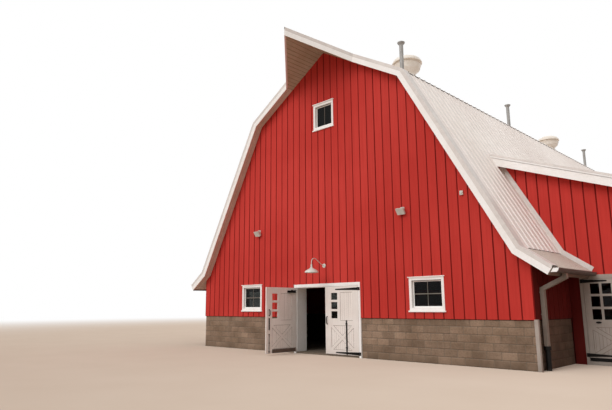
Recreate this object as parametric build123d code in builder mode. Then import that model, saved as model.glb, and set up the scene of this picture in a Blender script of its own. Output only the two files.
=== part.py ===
from build123d import *

import os
from dataclasses import dataclass, replace
from math import atan2, cos, degrees, pi, radians, sin, tan

# A red gambrel barn with a lean-to wing, in millimetres.
# X runs to the right along the front gable, Y to the back and Z up.
# The origin is on the ground, in the middle of the main barn's floor.

# Main barn
BOARD = 304.8  # face of one siding board
BARN_WIDTH = 44 * BOARD
BARN_LENGTH = 88 * BOARD
WALL = 160.0  # studs and siding together
BASE_HEIGHT = 1200.0  # six courses of block
BASE_WALL = 200.0
BASE_RECESS = 20.0  # the siding hangs this far in front of the blocks
FLOOR_DEPTH = 50.0
LOFT_FLOOR_DEPTH = 180.0
LOFT_FLOOR_DROP = 20.0  # from the top of the side wall down to the loft floor

# Gambrel roof, given by its underside
WALL_TOP = 2620.0  # underside of the roof over the outer face of the side wall
FLARE_RUN = 276.0  # from that face in to the break where the flare starts
FLARE_PITCH = 34.6
EAVE_OVERHANG = 514.0
KNEE_X = 3300.0
LOWER_PITCH = 60.8
UPPER_PITCH = 31.0
ROOF_DEPTH = 160.0
RAKE_OVERHANG = 300.0
HOOD_HALF_WIDTH = 1570.0
HOOD_REACH = 1880.0  # tip of the hay hood in front of the gable
FASCIA = 25.0
FASCIA_DEPTH = 200.0
RIDGE_CAP_WIDTH = 260.0
RIDGE_CAP = 12.0

# Openings of the front gable
DOOR_CENTRE = -40.0
DOOR_WIDTH = 2746.0
DOOR_TOP = 2180.0
DOOR_HEAD = 100.0
CASING = 80.0
CASING_DEPTH = 30.0
LINING = 30.0
LINING_DEPTH = 500.0
STOP = 25.0
STOP_DEPTH = 18.0
STOP_CLEARANCE = 7.0  # from the closed leaf to the stop behind it
WINDOW_WIDTH = 1120.0
WINDOW_HEIGHT = 920.0
WINDOW_Z = 1870.0
WINDOW_X = 3760.0
LOFT_WINDOW_WIDTH = 920.0
LOFT_WINDOW_Z = 8065.0
SIDE_WINDOW_PITCH = 5364.0
WINDOW_CASING = 80.0
WINDOW_CASING_DEPTH = 25.0
WINDOW_LINING = 20.0
WINDOW_LINING_DEPTH = 130.0
SASH = 40.0
SASH_DEPTH = 30.0
SASH_SETBACK = 50.0
GLASS = 8.0
SILL_DEPTH = 55.0
SILL_HEIGHT = 40.0
DRIP_CAP_HEIGHT = 25.0
SILL_EAR = 30.0  # sill and drip cap run past the casing by this much

# Wing
WING_SETBACK = 8 * BOARD
WING_LENGTH = 40 * BOARD
WING_WIDTH = 20 * BOARD
WING_TOP_Z = 6100.0  # where the wing roof meets the main roof
WING_PITCH = 20.3
WING_ROOF_DEPTH = 160.0
WING_OVERHANG = 280.0
WING_FASCIA_DEPTH = 300.0
WING_DOOR_LEFT = 7075.0
WING_DOOR_WIDTH = 1410.0
WING_DOOR_TOP = 2225.0
WING_SILL = 95.0
WING_WINDOW_Z = 1700.0
FLASHING_WIDTH = 150.0
FLASHING = 25.0

# Door leaves and their ironwork
LEAF_THICKNESS = 45.0
LEAF_GAP = 8.0  # at the hinge side and the head
MEETING_GAP = 8.0  # between the two front leaves
FLOOR_CLEARANCE = 12.0
PANE_WIDTH = 264.0
PANE_HEIGHT = 227.0
PANE_PITCH = 290.0
PANE_TOP_Z = 1856.0  # middle of the topmost pane of a front leaf
WING_PANE_WIDTH = 231.0
WING_PANE_HEIGHT = 277.0
WING_PANE_PITCH = (285.0, 332.0)
WING_PANE_TOP_Z = 1956.0
HINGE_INSET = 97.0  # from the head of a front leaf down to its upper hinge
HINGE_LIFT = 56.0  # from its foot up to the lower one
POCKET = 12.0  # depth of the panels on each face
BRACE_WIDTH = 95.0
BRACE_SETBACK = 3.0
PANE_GLASS = 6.0
AXIS_OUT = 18.0  # hinge line in front of the leaf's outer face
PIN_RADIUS = 6.0
PIN_PLAY = 0.1
KNUCKLE_RADIUS = 10.0
KNUCKLE_HEIGHT = 50.0
KNUCKLE_GAP = 1.0
PINTLE_KNUCKLE = 22.0
STRAP = 5.0
STRAP_ROOT = 90.0
STRAP_TIP = 36.0
PINTLE_PLATE = 70.0
WEB = 26.0
WEB_TOE = 9.0  # from the hinge line to the web and to the plates on both sides
PULL_RADIUS = 8.0
PULL_REACH = 48.0
PULL_HEIGHT = 230.0
PULL_BEND = 16.0
PULL_Z = 1100.0
INNER_PULL_Z = 1350.0
INNER_PULL_HEIGHT = 180.0
ROSETTE = 20.0
ROSETTE_DEPTH = 5.0

# Roof fittings
VENTILATOR_RADIUS = 635.0
VENTILATOR_HEIGHT = 1420.0  # above the ridge
VENTILATOR_CROWN = 330.0  # radius of its flat top
VENTILATOR_HOOD = 290.0  # height of its hood
VENTILATOR_THROAT = 540.0
VENTILATOR_GAP = 110.0  # between the hood and the bowl
VENTILATOR_BOWL = 350.0  # height of the bowl
VENTILATOR_NECK = 345.0
VENTILATOR_OFFSETS = (5300.0, 21000.0)  # behind the front gable
CURB = 760.0
PIPE_RADIUS = 75.0
PIPE_X = 1500.0
PIPE_HEIGHT = 620.0  # above the ridge
PIPE_OFFSETS = (2650.0, 11700.0, 22700.0)
PIPE_FLARE = 140.0
PIPE_RIM = 30.0
PIPE_FUNNEL = 80.0  # height of the flare under the rim
PIPE_SKIRT = 130.0
PIPE_SKIRT_HEIGHT = 100.0

# Rainwater goods and the corner post
GUTTER_WIDTH = 125.0
GUTTER_DEPTH = 95.0
GUTTER_WALL = 5.0
GUTTER_BELLY = 9.0
GUTTER_CLEARANCE = 10.0  # from its end to the casing of the wing door
DOWNSPOUT_OFFSET = 400.0
DOWNSPOUT_WIDTH = 120.0
DOWNSPOUT_DEPTH = 100.0
DOWNSPOUT_WALL = 3.0
DOWNSPOUT_DROP = 95.0
DOWNSPOUT_ELBOW_Z = 1930.0
DOWNSPOUT_BRACKET = 25.0  # gap between the wall and the downspout
DOWNSPOUT_SOCKET = 60.0  # how far it reaches into the drain pipe
BRACKET_HEIGHT = 30.0
BRACKET_ZS = (1850.0, 1320.0)
DRAIN_TOP = 570.0
DRAIN_RADIUS = 60.0
DRAIN_BELL = 85.0
DRAIN_BELL_DEPTH = 90.0
DRAIN_WALL = 5.0
POST = 90.0
POST_FRONT = 40.0  # how far it stands in front of the gable

# Lamps on the front gable
LAMP_X = -91.0
LAMP_Z = 2862.0
LAMP_REACH = 610.0
LAMP_ARM_TOP = 3085.0
LAMP_ARM = 13.0
LAMP_PLATE = 76.0  # radius against the wall
LAMP_PLATE_FACE = 66.0  # radius of its front
LAMP_PLATE_DEPTH = 22.0
SHADE_RADIUS = 232.0
SHADE_RIM_Z = 2612.0
SHADE_NECK_Z = 2890.0
SHADE_NECK = 34.0
SHADE_WALL = 6.0
SHADE_CROWN = 138.0  # height of its hollow above the rim
FLOODLIGHTS = ((-3355.0, 4237.0), (3083.0, 4277.0))
FLOODLIGHT_PLATE = 130.0
FLOODLIGHT_TILT = 35.0

# Lines and levels that follow from the sizes above
HALF = BARN_WIDTH / 2
FRONT = -BARN_LENGTH / 2
BACK = BARN_LENGTH / 2
BASE_FACE = HALF - BASE_RECESS
GABLE_FOOT = DOOR_TOP + DOOR_HEAD
DOOR_LEFT = DOOR_CENTRE - DOOR_WIDTH / 2
DOOR_RIGHT = DOOR_CENTRE + DOOR_WIDTH / 2
WING_FRONT = FRONT + WING_SETBACK
WING_BACK = WING_FRONT + WING_LENGTH
WING_RIGHT = HALF + WING_WIDTH
WING_DOOR_RIGHT = WING_DOOR_LEFT + WING_DOOR_WIDTH
WING_FOOT = WING_DOOR_TOP + DOOR_HEAD

FLARE_BREAK = (HALF - FLARE_RUN, WALL_TOP + FLARE_RUN * tan(radians(FLARE_PITCH)))
KNEE = (KNEE_X, FLARE_BREAK[1] + (FLARE_BREAK[0] - KNEE_X) * tan(radians(LOWER_PITCH)))
APEX = (0.0, KNEE[1] + KNEE_X * tan(radians(UPPER_PITCH)))
EAVE_TIP = (HALF + EAVE_OVERHANG, WALL_TOP - EAVE_OVERHANG * tan(radians(FLARE_PITCH)))

os.makedirs("parts", exist_ok=True)


def save(builder, name):
    """Labels a finished piece and writes it as its own file."""
    builder.part.label = name
    export_step(builder.part, f"parts/{name}.step")


def section(y):
    """A cross-section of the barn at y: sketch in X and Z, extrude a negative amount to go back."""
    return Plane(origin=(0, y, 0), x_dir=(1, 0, 0), z_dir=(0, -1, 0))


def mirrored(points, side):
    """The same outline on the left (side -1) or on the right (side 1)."""
    return [(side * x, z) for x, z in points]


def normal_of(pitch):
    """Unit vector out of a roof face that falls to the right at this pitch."""
    return sin(radians(pitch)), cos(radians(pitch))


def mitre(point, pitch_a, pitch_b, depth):
    """Where two roof faces that meet at point meet again once both are moved out by depth."""
    (ax, az), (bx, bz) = normal_of(pitch_a), normal_of(pitch_b)
    share = depth / (1 + ax * bx + az * bz)
    return point[0] + share * (ax + bx), point[1] + share * (az + bz)


def roof_line(depth):
    """Ridge, knee, flare break and eave tip of the right half, this far outside the underside."""
    nx, nz = normal_of(FLARE_PITCH)
    return [
        (0.0, APEX[1] + depth / cos(radians(UPPER_PITCH))),
        mitre(KNEE, UPPER_PITCH, LOWER_PITCH, depth),
        mitre(FLARE_BREAK, LOWER_PITCH, FLARE_PITCH, depth),
        (EAVE_TIP[0] + nx * depth, EAVE_TIP[1] + nz * depth),
    ]


def upper_z(x, depth):
    """Height of the upper roof face at x, this far outside the underside."""
    return roof_line(depth)[0][1] - abs(x) * tan(radians(UPPER_PITCH))


UNDER = roof_line(0)
OUTER = roof_line(ROOF_DEPTH)
GABLE_LINE = [
    (HALF, WALL_TOP), FLARE_BREAK, KNEE, APEX,
    (-KNEE[0], KNEE[1]), (-FLARE_BREAK[0], FLARE_BREAK[1]), (-HALF, WALL_TOP),
]

# The eave board stands square to the flare's end, and its outer top corner carries the gutter.
EAVE_ALONG = (cos(radians(FLARE_PITCH)), -sin(radians(FLARE_PITCH)))
EAVE_BOARD = [
    OUTER[3],
    (OUTER[3][0] + FASCIA * EAVE_ALONG[0], OUTER[3][1] + FASCIA * EAVE_ALONG[1]),
    (OUTER[3][0] + FASCIA * EAVE_ALONG[0] + FASCIA_DEPTH * EAVE_ALONG[1],
     OUTER[3][1] + FASCIA * EAVE_ALONG[1] - FASCIA_DEPTH * EAVE_ALONG[0]),
    (OUTER[3][0] + FASCIA_DEPTH * EAVE_ALONG[1], OUTER[3][1] - FASCIA_DEPTH * EAVE_ALONG[0]),
]


def wing_z(x, depth=0.0):
    """Height of the wing roof's top at x, or of a face this far under it."""
    top_x = OUTER[2][0] - (WING_TOP_Z - OUTER[2][1]) / tan(radians(LOWER_PITCH))
    return WING_TOP_Z - (x - top_x) * tan(radians(WING_PITCH)) - depth / cos(radians(WING_PITCH))


def wing_meets_roof(depth):
    """The point where a face of the wing roof, this far under its top, meets the main roof."""
    fall = wing_z(OUTER[2][0], depth) - OUTER[2][1]
    run = fall / (tan(radians(LOWER_PITCH)) - tan(radians(WING_PITCH)))
    return OUTER[2][0] - run, wing_z(OUTER[2][0] - run, depth)


def drum(centre, rings, sides):
    """Sheet-metal drum: many-sided rings (radius, z) from the foot up; two at one height make a ledge."""
    bands = []
    for (radius, z), (next_radius, next_z) in zip(rings, rings[1:]):
        if next_z > z:
            # Each band is drawn up from its wide end, and turned over where it widens upwards.
            widens = next_radius > radius
            place = Location((*centre, next_z), (180, 0, 0)) if widens else Location((*centre, z))
            with BuildPart() as band:
                with BuildSketch(Plane.XY):
                    RegularPolygon(max(radius, next_radius), sides)
                lean = atan2(abs(next_radius - radius) * cos(pi / sides), next_z - z)
                extrude(amount=next_z - z, taper=degrees(lean))
            bands.append(place * band.part)
    with BuildPart() as part:
        add(bands)
    return part.part


def wall_window(width, height):
    """Cut-out of a window in a wall sketch, at the location in force."""
    inset = 2 * (WINDOW_CASING - WINDOW_LINING)
    Rectangle(width - inset, height - inset, mode=Mode.SUBTRACT)


# Floors: the two slabs lie inside the walls, with a tongue through each doorway.
with BuildPart() as floor_slabs:
    inside = BASE_FACE - BASE_WALL
    with BuildSketch(Plane.XY):
        Rectangle(2 * inside, BARN_LENGTH - 2 * (BASE_RECESS + BASE_WALL))
        with Locations((DOOR_CENTRE, FRONT)):
            Rectangle(DOOR_WIDTH + 2 * LINING, BASE_RECESS + BASE_WALL, align=(Align.CENTER, Align.MIN))
        with Locations((BASE_FACE, WING_FRONT + WALL)):
            Rectangle(WING_RIGHT - WALL - BASE_FACE, WING_LENGTH - 2 * WALL, align=(Align.MIN, Align.MIN))
        with Locations((WING_DOOR_LEFT - LINING, WING_FRONT)):
            Rectangle(WING_DOOR_WIDTH + 2 * LINING, WALL, align=(Align.MIN, Align.MIN))
    extrude(amount=FLOOR_DEPTH)
save(floor_slabs, "floor_slabs")

SIDE_WALL_INNER_TOP = WALL_TOP + WALL * tan(radians(FLARE_PITCH))
with BuildPart() as loft_floor:
    with BuildSketch(Plane.XY.offset(SIDE_WALL_INNER_TOP - LOFT_FLOOR_DROP)):
        Rectangle(BARN_WIDTH - 2 * WALL, BARN_LENGTH - 2 * WALL)
    extrude(amount=-LOFT_FLOOR_DEPTH)
save(loft_floor, "loft_floor")

# Block base: the end walls run through and the side walls butt against them.
with BuildPart() as front_block_base:
    with BuildSketch(Plane.XY):
        with Locations((0, FRONT + BASE_RECESS)):
            Rectangle(2 * BASE_FACE, BASE_WALL, align=(Align.CENTER, Align.MIN))
        with Locations((DOOR_CENTRE, FRONT + BASE_RECESS)):
            Rectangle(DOOR_WIDTH + 2 * LINING, BASE_WALL, align=(Align.CENTER, Align.MIN), mode=Mode.SUBTRACT)
    extrude(amount=BASE_HEIGHT)
save(front_block_base, "front_block_base")

with BuildPart() as rear_block_base:
    with BuildSketch(Plane.XY):
        with Locations((0, BACK - BASE_RECESS)):
            Rectangle(2 * BASE_FACE, BASE_WALL, align=(Align.CENTER, Align.MAX))
    extrude(amount=BASE_HEIGHT)
save(rear_block_base, "rear_block_base")

with BuildPart() as side_block_bases:
    with BuildSketch(Plane.XY):
        with Locations(*[(side * (BASE_FACE - BASE_WALL / 2), 0) for side in (-1, 1)]):
            Rectangle(BASE_WALL, BARN_LENGTH - 2 * (BASE_RECESS + BASE_WALL))
    extrude(amount=BASE_HEIGHT)
save(side_block_bases, "side_block_bases")

# Front gable: two panels beside the doorway, and the gable over it.
with BuildPart() as front_wall:
    with BuildSketch(section(FRONT)):
        with Locations((0, BASE_HEIGHT)):
            Rectangle(BARN_WIDTH, GABLE_FOOT - BASE_HEIGHT, align=(Align.CENTER, Align.MIN))
        with Locations((DOOR_CENTRE, BASE_HEIGHT)):
            Rectangle(DOOR_WIDTH + 2 * LINING, GABLE_FOOT - BASE_HEIGHT, align=(Align.CENTER, Align.MIN),
                      mode=Mode.SUBTRACT)
        with Locations((-WINDOW_X, WINDOW_Z), (WINDOW_X, WINDOW_Z)):
            wall_window(WINDOW_WIDTH, WINDOW_HEIGHT)
    extrude(amount=-WALL)
save(front_wall, "front_wall")

with BuildPart() as front_gable:
    with BuildSketch(section(FRONT)):
        with BuildLine():
            Polyline((-HALF, GABLE_FOOT), (HALF, GABLE_FOOT), *GABLE_LINE, close=True)
        make_face()
        with Locations((DOOR_CENTRE, LOFT_WINDOW_Z)):
            wall_window(LOFT_WINDOW_WIDTH, WINDOW_HEIGHT)
    extrude(amount=-WALL)
save(front_gable, "front_gable")

with BuildPart() as rear_wall:
    with BuildSketch(section(BACK - WALL)):
        with BuildLine():
            Polyline((-HALF, BASE_HEIGHT), (HALF, BASE_HEIGHT), *GABLE_LINE, close=True)
        make_face()
        with Locations((-WINDOW_X, WINDOW_Z), (WINDOW_X, WINDOW_Z)):
            wall_window(WINDOW_WIDTH, WINDOW_HEIGHT)
        with Locations((DOOR_CENTRE, LOFT_WINDOW_Z)):
            wall_window(LOFT_WINDOW_WIDTH, WINDOW_HEIGHT)
    extrude(amount=-WALL)
save(rear_wall, "rear_wall")

# Side walls: low, with a top that follows the flare.
LEFT_WINDOW_YS = [i * SIDE_WINDOW_PITCH for i in (-2, -1, 0, 1, 2)]
RIGHT_WINDOW_YS = [y for y in LEFT_WINDOW_YS if y - WINDOW_WIDTH > WING_BACK]
for name, side, window_ys in (("left_wall", -1, LEFT_WINDOW_YS), ("right_wall", 1, RIGHT_WINDOW_YS)):
    with BuildPart() as side_wall:
        with BuildSketch(section(FRONT + WALL)):
            with BuildLine():
                Polyline(*mirrored([(HALF - WALL, BASE_HEIGHT), (HALF, BASE_HEIGHT), (HALF, WALL_TOP),
                                    (HALF - WALL, SIDE_WALL_INNER_TOP)], side), close=True)
            make_face()
        extrude(amount=-(BARN_LENGTH - 2 * WALL))
        with BuildSketch(Plane.YZ.offset(side * HALF)):
            with Locations(*[(y, WINDOW_Z) for y in window_ys]):
                inset = 2 * (WINDOW_CASING - WINDOW_LINING)
                Rectangle(WINDOW_WIDTH - inset, WINDOW_HEIGHT - inset)
        extrude(amount=-side * WALL, mode=Mode.SUBTRACT)
    save(side_wall, name)

# Main roof: three slabs a side, mitred where they meet.
ROOF_START = FRONT - RAKE_OVERHANG
ROOF_LENGTH = BARN_LENGTH + 2 * RAKE_OVERHANG
ROOF_EDGES = list(zip(UNDER, OUTER))  # ridge, knee, flare break and eave, each as two points
for slab_name, upper_edge, lower_edge in zip(("upper", "lower"), ROOF_EDGES, ROOF_EDGES[1:]):
    with BuildPart() as roof_slabs:
        for side in (-1, 1):
            with BuildSketch(section(ROOF_START)):
                with BuildLine():
                    Polyline(*mirrored([*upper_edge, *lower_edge[::-1]], side), close=True)
                make_face()
            extrude(amount=-ROOF_LENGTH)
    save(roof_slabs, f"roof_{slab_name}")

# The flare of the eaves stops against the wing and starts again behind it.
FLARE_RUNS = (
    (-1, ROOF_START, ROOF_START + ROOF_LENGTH),
    (1, ROOF_START, WING_FRONT),
    (1, WING_BACK, ROOF_START + ROOF_LENGTH),
)
with BuildPart() as roof_flares:
    for side, start, end in FLARE_RUNS:
        with BuildSketch(section(start)):
            with BuildLine():
                Polyline(*mirrored(UNDER[2:] + OUTER[:1:-1], side), close=True)
            make_face()
        extrude(amount=start - end)
save(roof_flares, "roof_flares")

# Inside the wing the flare is cut off flush with the side wall.
FLARE_OVER_WALL = (HALF, WALL_TOP + ROOF_DEPTH / cos(radians(FLARE_PITCH)))
with BuildPart() as roof_flare_in_wing:
    with BuildSketch(section(WING_FRONT)):
        with BuildLine():
            Polyline(UNDER[2], (HALF, WALL_TOP), FLARE_OVER_WALL, OUTER[2], close=True)
        make_face()
    extrude(amount=-WING_LENGTH)
save(roof_flare_in_wing, "roof_flare_in_wing")

with BuildPart() as eave_fascia:
    for side, start, end in FLARE_RUNS:
        with BuildSketch(section(start)):
            with BuildLine():
                Polyline(*mirrored(EAVE_BOARD, side), close=True)
            make_face()
        extrude(amount=start - end)
save(eave_fascia, "eave_fascia")

# Hay hood: the upper roof runs on past the rake to a point over the gable.
HOOD_TIP = FRONT - HOOD_REACH
with BuildPart() as hay_hood:
    with BuildSketch(section(HOOD_TIP)):
        with BuildLine():
            Polyline((-HOOD_HALF_WIDTH, upper_z(HOOD_HALF_WIDTH, 0)), UNDER[0],
                     (HOOD_HALF_WIDTH, upper_z(HOOD_HALF_WIDTH, 0)),
                     (HOOD_HALF_WIDTH, upper_z(HOOD_HALF_WIDTH, ROOF_DEPTH)), OUTER[0],
                     (-HOOD_HALF_WIDTH, upper_z(HOOD_HALF_WIDTH, ROOF_DEPTH)), close=True)
        make_face()
    extrude(amount=HOOD_TIP - ROOF_START)
    with BuildSketch(Plane.XY):
        with BuildLine():
            Polyline((-HOOD_HALF_WIDTH, ROOF_START), (0, HOOD_TIP), (HOOD_HALF_WIDTH, ROOF_START), close=True)
        make_face()
    extrude(amount=2 * APEX[1], mode=Mode.INTERSECT)
save(hay_hood, "hay_hood")

# Ridge cap, cut to the point of the hood.
with BuildPart() as ridge_cap:
    with BuildSketch(section(HOOD_TIP)):
        with BuildLine():
            Polyline((-RIDGE_CAP_WIDTH, upper_z(RIDGE_CAP_WIDTH, ROOF_DEPTH)), OUTER[0],
                     (RIDGE_CAP_WIDTH, upper_z(RIDGE_CAP_WIDTH, ROOF_DEPTH)),
                     (RIDGE_CAP_WIDTH, upper_z(RIDGE_CAP_WIDTH, ROOF_DEPTH + RIDGE_CAP)),
                     roof_line(ROOF_DEPTH + RIDGE_CAP)[0],
                     (-RIDGE_CAP_WIDTH, upper_z(RIDGE_CAP_WIDTH, ROOF_DEPTH + RIDGE_CAP)), close=True)
        make_face()
    extrude(amount=-(HOOD_REACH + BARN_LENGTH + RAKE_OVERHANG))
    cap_run = RIDGE_CAP_WIDTH * (HOOD_REACH - RAKE_OVERHANG) / HOOD_HALF_WIDTH
    with BuildSketch(Plane.XY):
        with BuildLine():
            Polyline((0, HOOD_TIP), (RIDGE_CAP_WIDTH, HOOD_TIP + cap_run),
                     (RIDGE_CAP_WIDTH, BACK + RAKE_OVERHANG), (-RIDGE_CAP_WIDTH, BACK + RAKE_OVERHANG),
                     (-RIDGE_CAP_WIDTH, HOOD_TIP + cap_run), close=True)
        make_face()
    extrude(amount=2 * APEX[1], mode=Mode.INTERSECT)
save(ridge_cap, "ridge_cap")

# Rake boards: they close the ends of the roof slabs and follow the edge of the hood.
BOARD_FOOT = roof_line(ROOF_DEPTH - FASCIA_DEPTH)
HOOD_BOARD_RUN = FASCIA / cos(atan2(HOOD_REACH - RAKE_OVERHANG, HOOD_HALF_WIDTH))
with BuildPart() as hood_boards:
    with BuildSketch(section(HOOD_TIP - HOOD_BOARD_RUN)):
        with BuildLine():
            Polyline((-HOOD_HALF_WIDTH, upper_z(HOOD_HALF_WIDTH, ROOF_DEPTH - FASCIA_DEPTH)), BOARD_FOOT[0],
                     (HOOD_HALF_WIDTH, upper_z(HOOD_HALF_WIDTH, ROOF_DEPTH - FASCIA_DEPTH)),
                     (HOOD_HALF_WIDTH, upper_z(HOOD_HALF_WIDTH, ROOF_DEPTH)), OUTER[0],
                     (-HOOD_HALF_WIDTH, upper_z(HOOD_HALF_WIDTH, ROOF_DEPTH)), close=True)
        make_face()
    extrude(amount=HOOD_TIP - HOOD_BOARD_RUN - ROOF_START)
    with BuildSketch(Plane.XY):
        with BuildLine():
            Polyline((-HOOD_HALF_WIDTH, ROOF_START), (0, HOOD_TIP), (HOOD_HALF_WIDTH, ROOF_START),
                     (HOOD_HALF_WIDTH, ROOF_START - HOOD_BOARD_RUN), (0, HOOD_TIP - HOOD_BOARD_RUN),
                     (-HOOD_HALF_WIDTH, ROOF_START - HOOD_BOARD_RUN), close=True)
        make_face()
    extrude(amount=2 * APEX[1], mode=Mode.INTERSECT)

with BuildPart() as rake_boards:
    for side in (-1, 1):
        with BuildSketch(section(ROOF_START - FASCIA)):
            with BuildLine():
                hood_top = (HOOD_HALF_WIDTH, upper_z(HOOD_HALF_WIDTH, ROOF_DEPTH))
                hood_foot = (HOOD_HALF_WIDTH, upper_z(HOOD_HALF_WIDTH, ROOF_DEPTH - FASCIA_DEPTH))
                outline = [hood_top, *OUTER[1:], *reversed(BOARD_FOOT[1:]), hood_foot]
                Polyline(*mirrored(outline, side), close=True)
            make_face()
        extrude(amount=-FASCIA)
        with BuildSketch(section(BACK + RAKE_OVERHANG)):
            with BuildLine():
                Polyline(*mirrored([*OUTER, *reversed(BOARD_FOOT)], side), close=True)
            make_face()
        extrude(amount=-FASCIA)
    add(hood_boards.part)
save(rake_boards, "rake_boards")


# Windows
def window_frame(face, width, height):
    """Casing, lining, sash, sill and drip cap of a window; face has its z axis pointing outdoors."""
    clear = (width - 2 * WINDOW_CASING, height - 2 * WINDOW_CASING)
    with BuildPart() as frame:
        with BuildSketch(face):
            Rectangle(width, height)
            Rectangle(*clear, mode=Mode.SUBTRACT)
        extrude(amount=WINDOW_CASING_DEPTH)
        with BuildSketch(face):
            Rectangle(clear[0] + 2 * WINDOW_LINING, clear[1] + 2 * WINDOW_LINING)
            Rectangle(*clear, mode=Mode.SUBTRACT)
        extrude(amount=-WINDOW_LINING_DEPTH)
        with BuildSketch(face.offset(-SASH_SETBACK)):
            Rectangle(*clear)
            Rectangle(clear[0] - 2 * SASH, clear[1] - 2 * SASH, mode=Mode.SUBTRACT)
        extrude(amount=-SASH_DEPTH)
        with BuildSketch(face):
            with Locations((0, -height / 2)):
                Rectangle(width + 2 * SILL_EAR, SILL_HEIGHT, align=(Align.CENTER, Align.MAX))
            with Locations((0, height / 2)):
                Rectangle(width + 2 * SILL_EAR, DRIP_CAP_HEIGHT, align=(Align.CENTER, Align.MIN))
        extrude(amount=SILL_DEPTH)
    return frame.part


def window_pane(face, width, height):
    """The glass of the same window, held edge to edge by the sash."""
    rim = 2 * (WINDOW_CASING + SASH)
    with BuildPart() as pane:
        with BuildSketch(face.offset(-SASH_SETBACK - (SASH_DEPTH - GLASS) / 2)):
            Rectangle(width - rim, height - rim)
        extrude(amount=-GLASS)
    return pane.part


def outdoor_plane(x, y, z, direction):
    """Plane centred on a window, with its z axis along direction in X and Y and its y axis up."""
    return Plane(origin=(x, y, z), x_dir=(-direction[1], direction[0], 0), z_dir=(*direction, 0))


WING_WINDOW_YS = [WING_FRONT + WING_LENGTH * share for share in (0.25, 0.75)]
WING_WINDOW_X = (HALF + WING_RIGHT) / 2
LOFT_SIZE = (LOFT_WINDOW_WIDTH, WINDOW_HEIGHT)
GROUND_SIZE = (WINDOW_WIDTH, WINDOW_HEIGHT)
WINDOWS = [
    (outdoor_plane(DOOR_CENTRE, y, LOFT_WINDOW_Z, (0, way)), *LOFT_SIZE)
    for y, way in ((FRONT, -1), (BACK, 1))
]
WINDOWS += [
    (outdoor_plane(x, y, WINDOW_Z, (0, way)), *GROUND_SIZE)
    for y, way in ((FRONT, -1), (BACK, 1))
    for x in (-WINDOW_X, WINDOW_X)
]
WINDOWS += [(outdoor_plane(-HALF, y, WINDOW_Z, (-1, 0)), *GROUND_SIZE) for y in LEFT_WINDOW_YS]
WINDOWS += [(outdoor_plane(HALF, y, WINDOW_Z, (1, 0)), *GROUND_SIZE) for y in RIGHT_WINDOW_YS]
WINDOWS += [(outdoor_plane(WING_RIGHT, y, WING_WINDOW_Z, (1, 0)), *GROUND_SIZE) for y in WING_WINDOW_YS]
WINDOWS += [(outdoor_plane(WING_WINDOW_X, WING_BACK, WING_WINDOW_Z, (0, 1)), *GROUND_SIZE)]

frames = [window_frame(*window) for window in WINDOWS]
panes = [window_pane(*window) for window in WINDOWS]
with BuildPart() as window_frames:
    add(frames)
save(window_frames, "window_frames")
with BuildPart() as window_glass:
    add(panes)
save(window_glass, "window_glass")

# Wing walls: the front is split beside and over its doorway.
with BuildPart() as wing_front_wall:
    with BuildSketch(section(WING_FRONT)):
        with BuildLine():
            Polyline((BASE_FACE, 0), (WING_DOOR_LEFT - LINING, 0), (WING_DOOR_LEFT - LINING, WING_FOOT),
                     (HALF, WING_FOOT), (HALF, BASE_HEIGHT), (BASE_FACE, BASE_HEIGHT), close=True)
        make_face()
        with Locations((WING_DOOR_RIGHT + LINING, 0)):
            Rectangle(WING_RIGHT - WING_DOOR_RIGHT - LINING, WING_FOOT, align=(Align.MIN, Align.MIN))
    extrude(amount=-WALL)
save(wing_front_wall, "wing_front_wall")

WING_WALL_TOP = [
    (WING_RIGHT, wing_z(WING_RIGHT, WING_ROOF_DEPTH)),
    wing_meets_roof(WING_ROOF_DEPTH),
    OUTER[2],
    FLARE_OVER_WALL,
]
with BuildPart() as wing_front_gable:
    with BuildSketch(section(WING_FRONT)):
        with BuildLine():
            Polyline((HALF, WING_FOOT), (WING_RIGHT, WING_FOOT), *WING_WALL_TOP, close=True)
        make_face()
    extrude(amount=-WALL)
save(wing_front_gable, "wing_front_gable")

with BuildPart() as wing_rear_wall:
    with BuildSketch(section(WING_BACK - WALL)):
        with BuildLine():
            Polyline((BASE_FACE, 0), (WING_RIGHT, 0), *WING_WALL_TOP,
                     (HALF, BASE_HEIGHT), (BASE_FACE, BASE_HEIGHT), close=True)
        make_face()
        with Locations((WING_WINDOW_X, WING_WINDOW_Z)):
            wall_window(WINDOW_WIDTH, WINDOW_HEIGHT)
    extrude(amount=-WALL)
save(wing_rear_wall, "wing_rear_wall")

with BuildPart() as wing_side_wall:
    with BuildSketch(section(WING_FRONT + WALL)):
        with BuildLine():
            Polyline((WING_RIGHT - WALL, 0), (WING_RIGHT, 0), WING_WALL_TOP[0],
                     (WING_RIGHT - WALL, wing_z(WING_RIGHT - WALL, WING_ROOF_DEPTH)), close=True)
        make_face()
    extrude(amount=-(WING_LENGTH - 2 * WALL))
    with BuildSketch(Plane.YZ.offset(WING_RIGHT)):
        with Locations(*[(y, WING_WINDOW_Z) for y in WING_WINDOW_YS]):
            inset = 2 * (WINDOW_CASING - WINDOW_LINING)
            Rectangle(WINDOW_WIDTH - inset, WINDOW_HEIGHT - inset)
    extrude(amount=-WALL, mode=Mode.SUBTRACT)
save(wing_side_wall, "wing_side_wall")

WING_EAVE = WING_RIGHT + WING_OVERHANG
with BuildPart() as wing_roof:
    with BuildSketch(section(WING_FRONT - WING_OVERHANG)):
        with BuildLine():
            Polyline(wing_meets_roof(0), (WING_EAVE, wing_z(WING_EAVE)),
                     (WING_EAVE, wing_z(WING_EAVE, WING_ROOF_DEPTH)), wing_meets_roof(WING_ROOF_DEPTH),
                     close=True)
        make_face()
    extrude(amount=-(WING_LENGTH + 2 * WING_OVERHANG))
save(wing_roof, "wing_roof")

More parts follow.
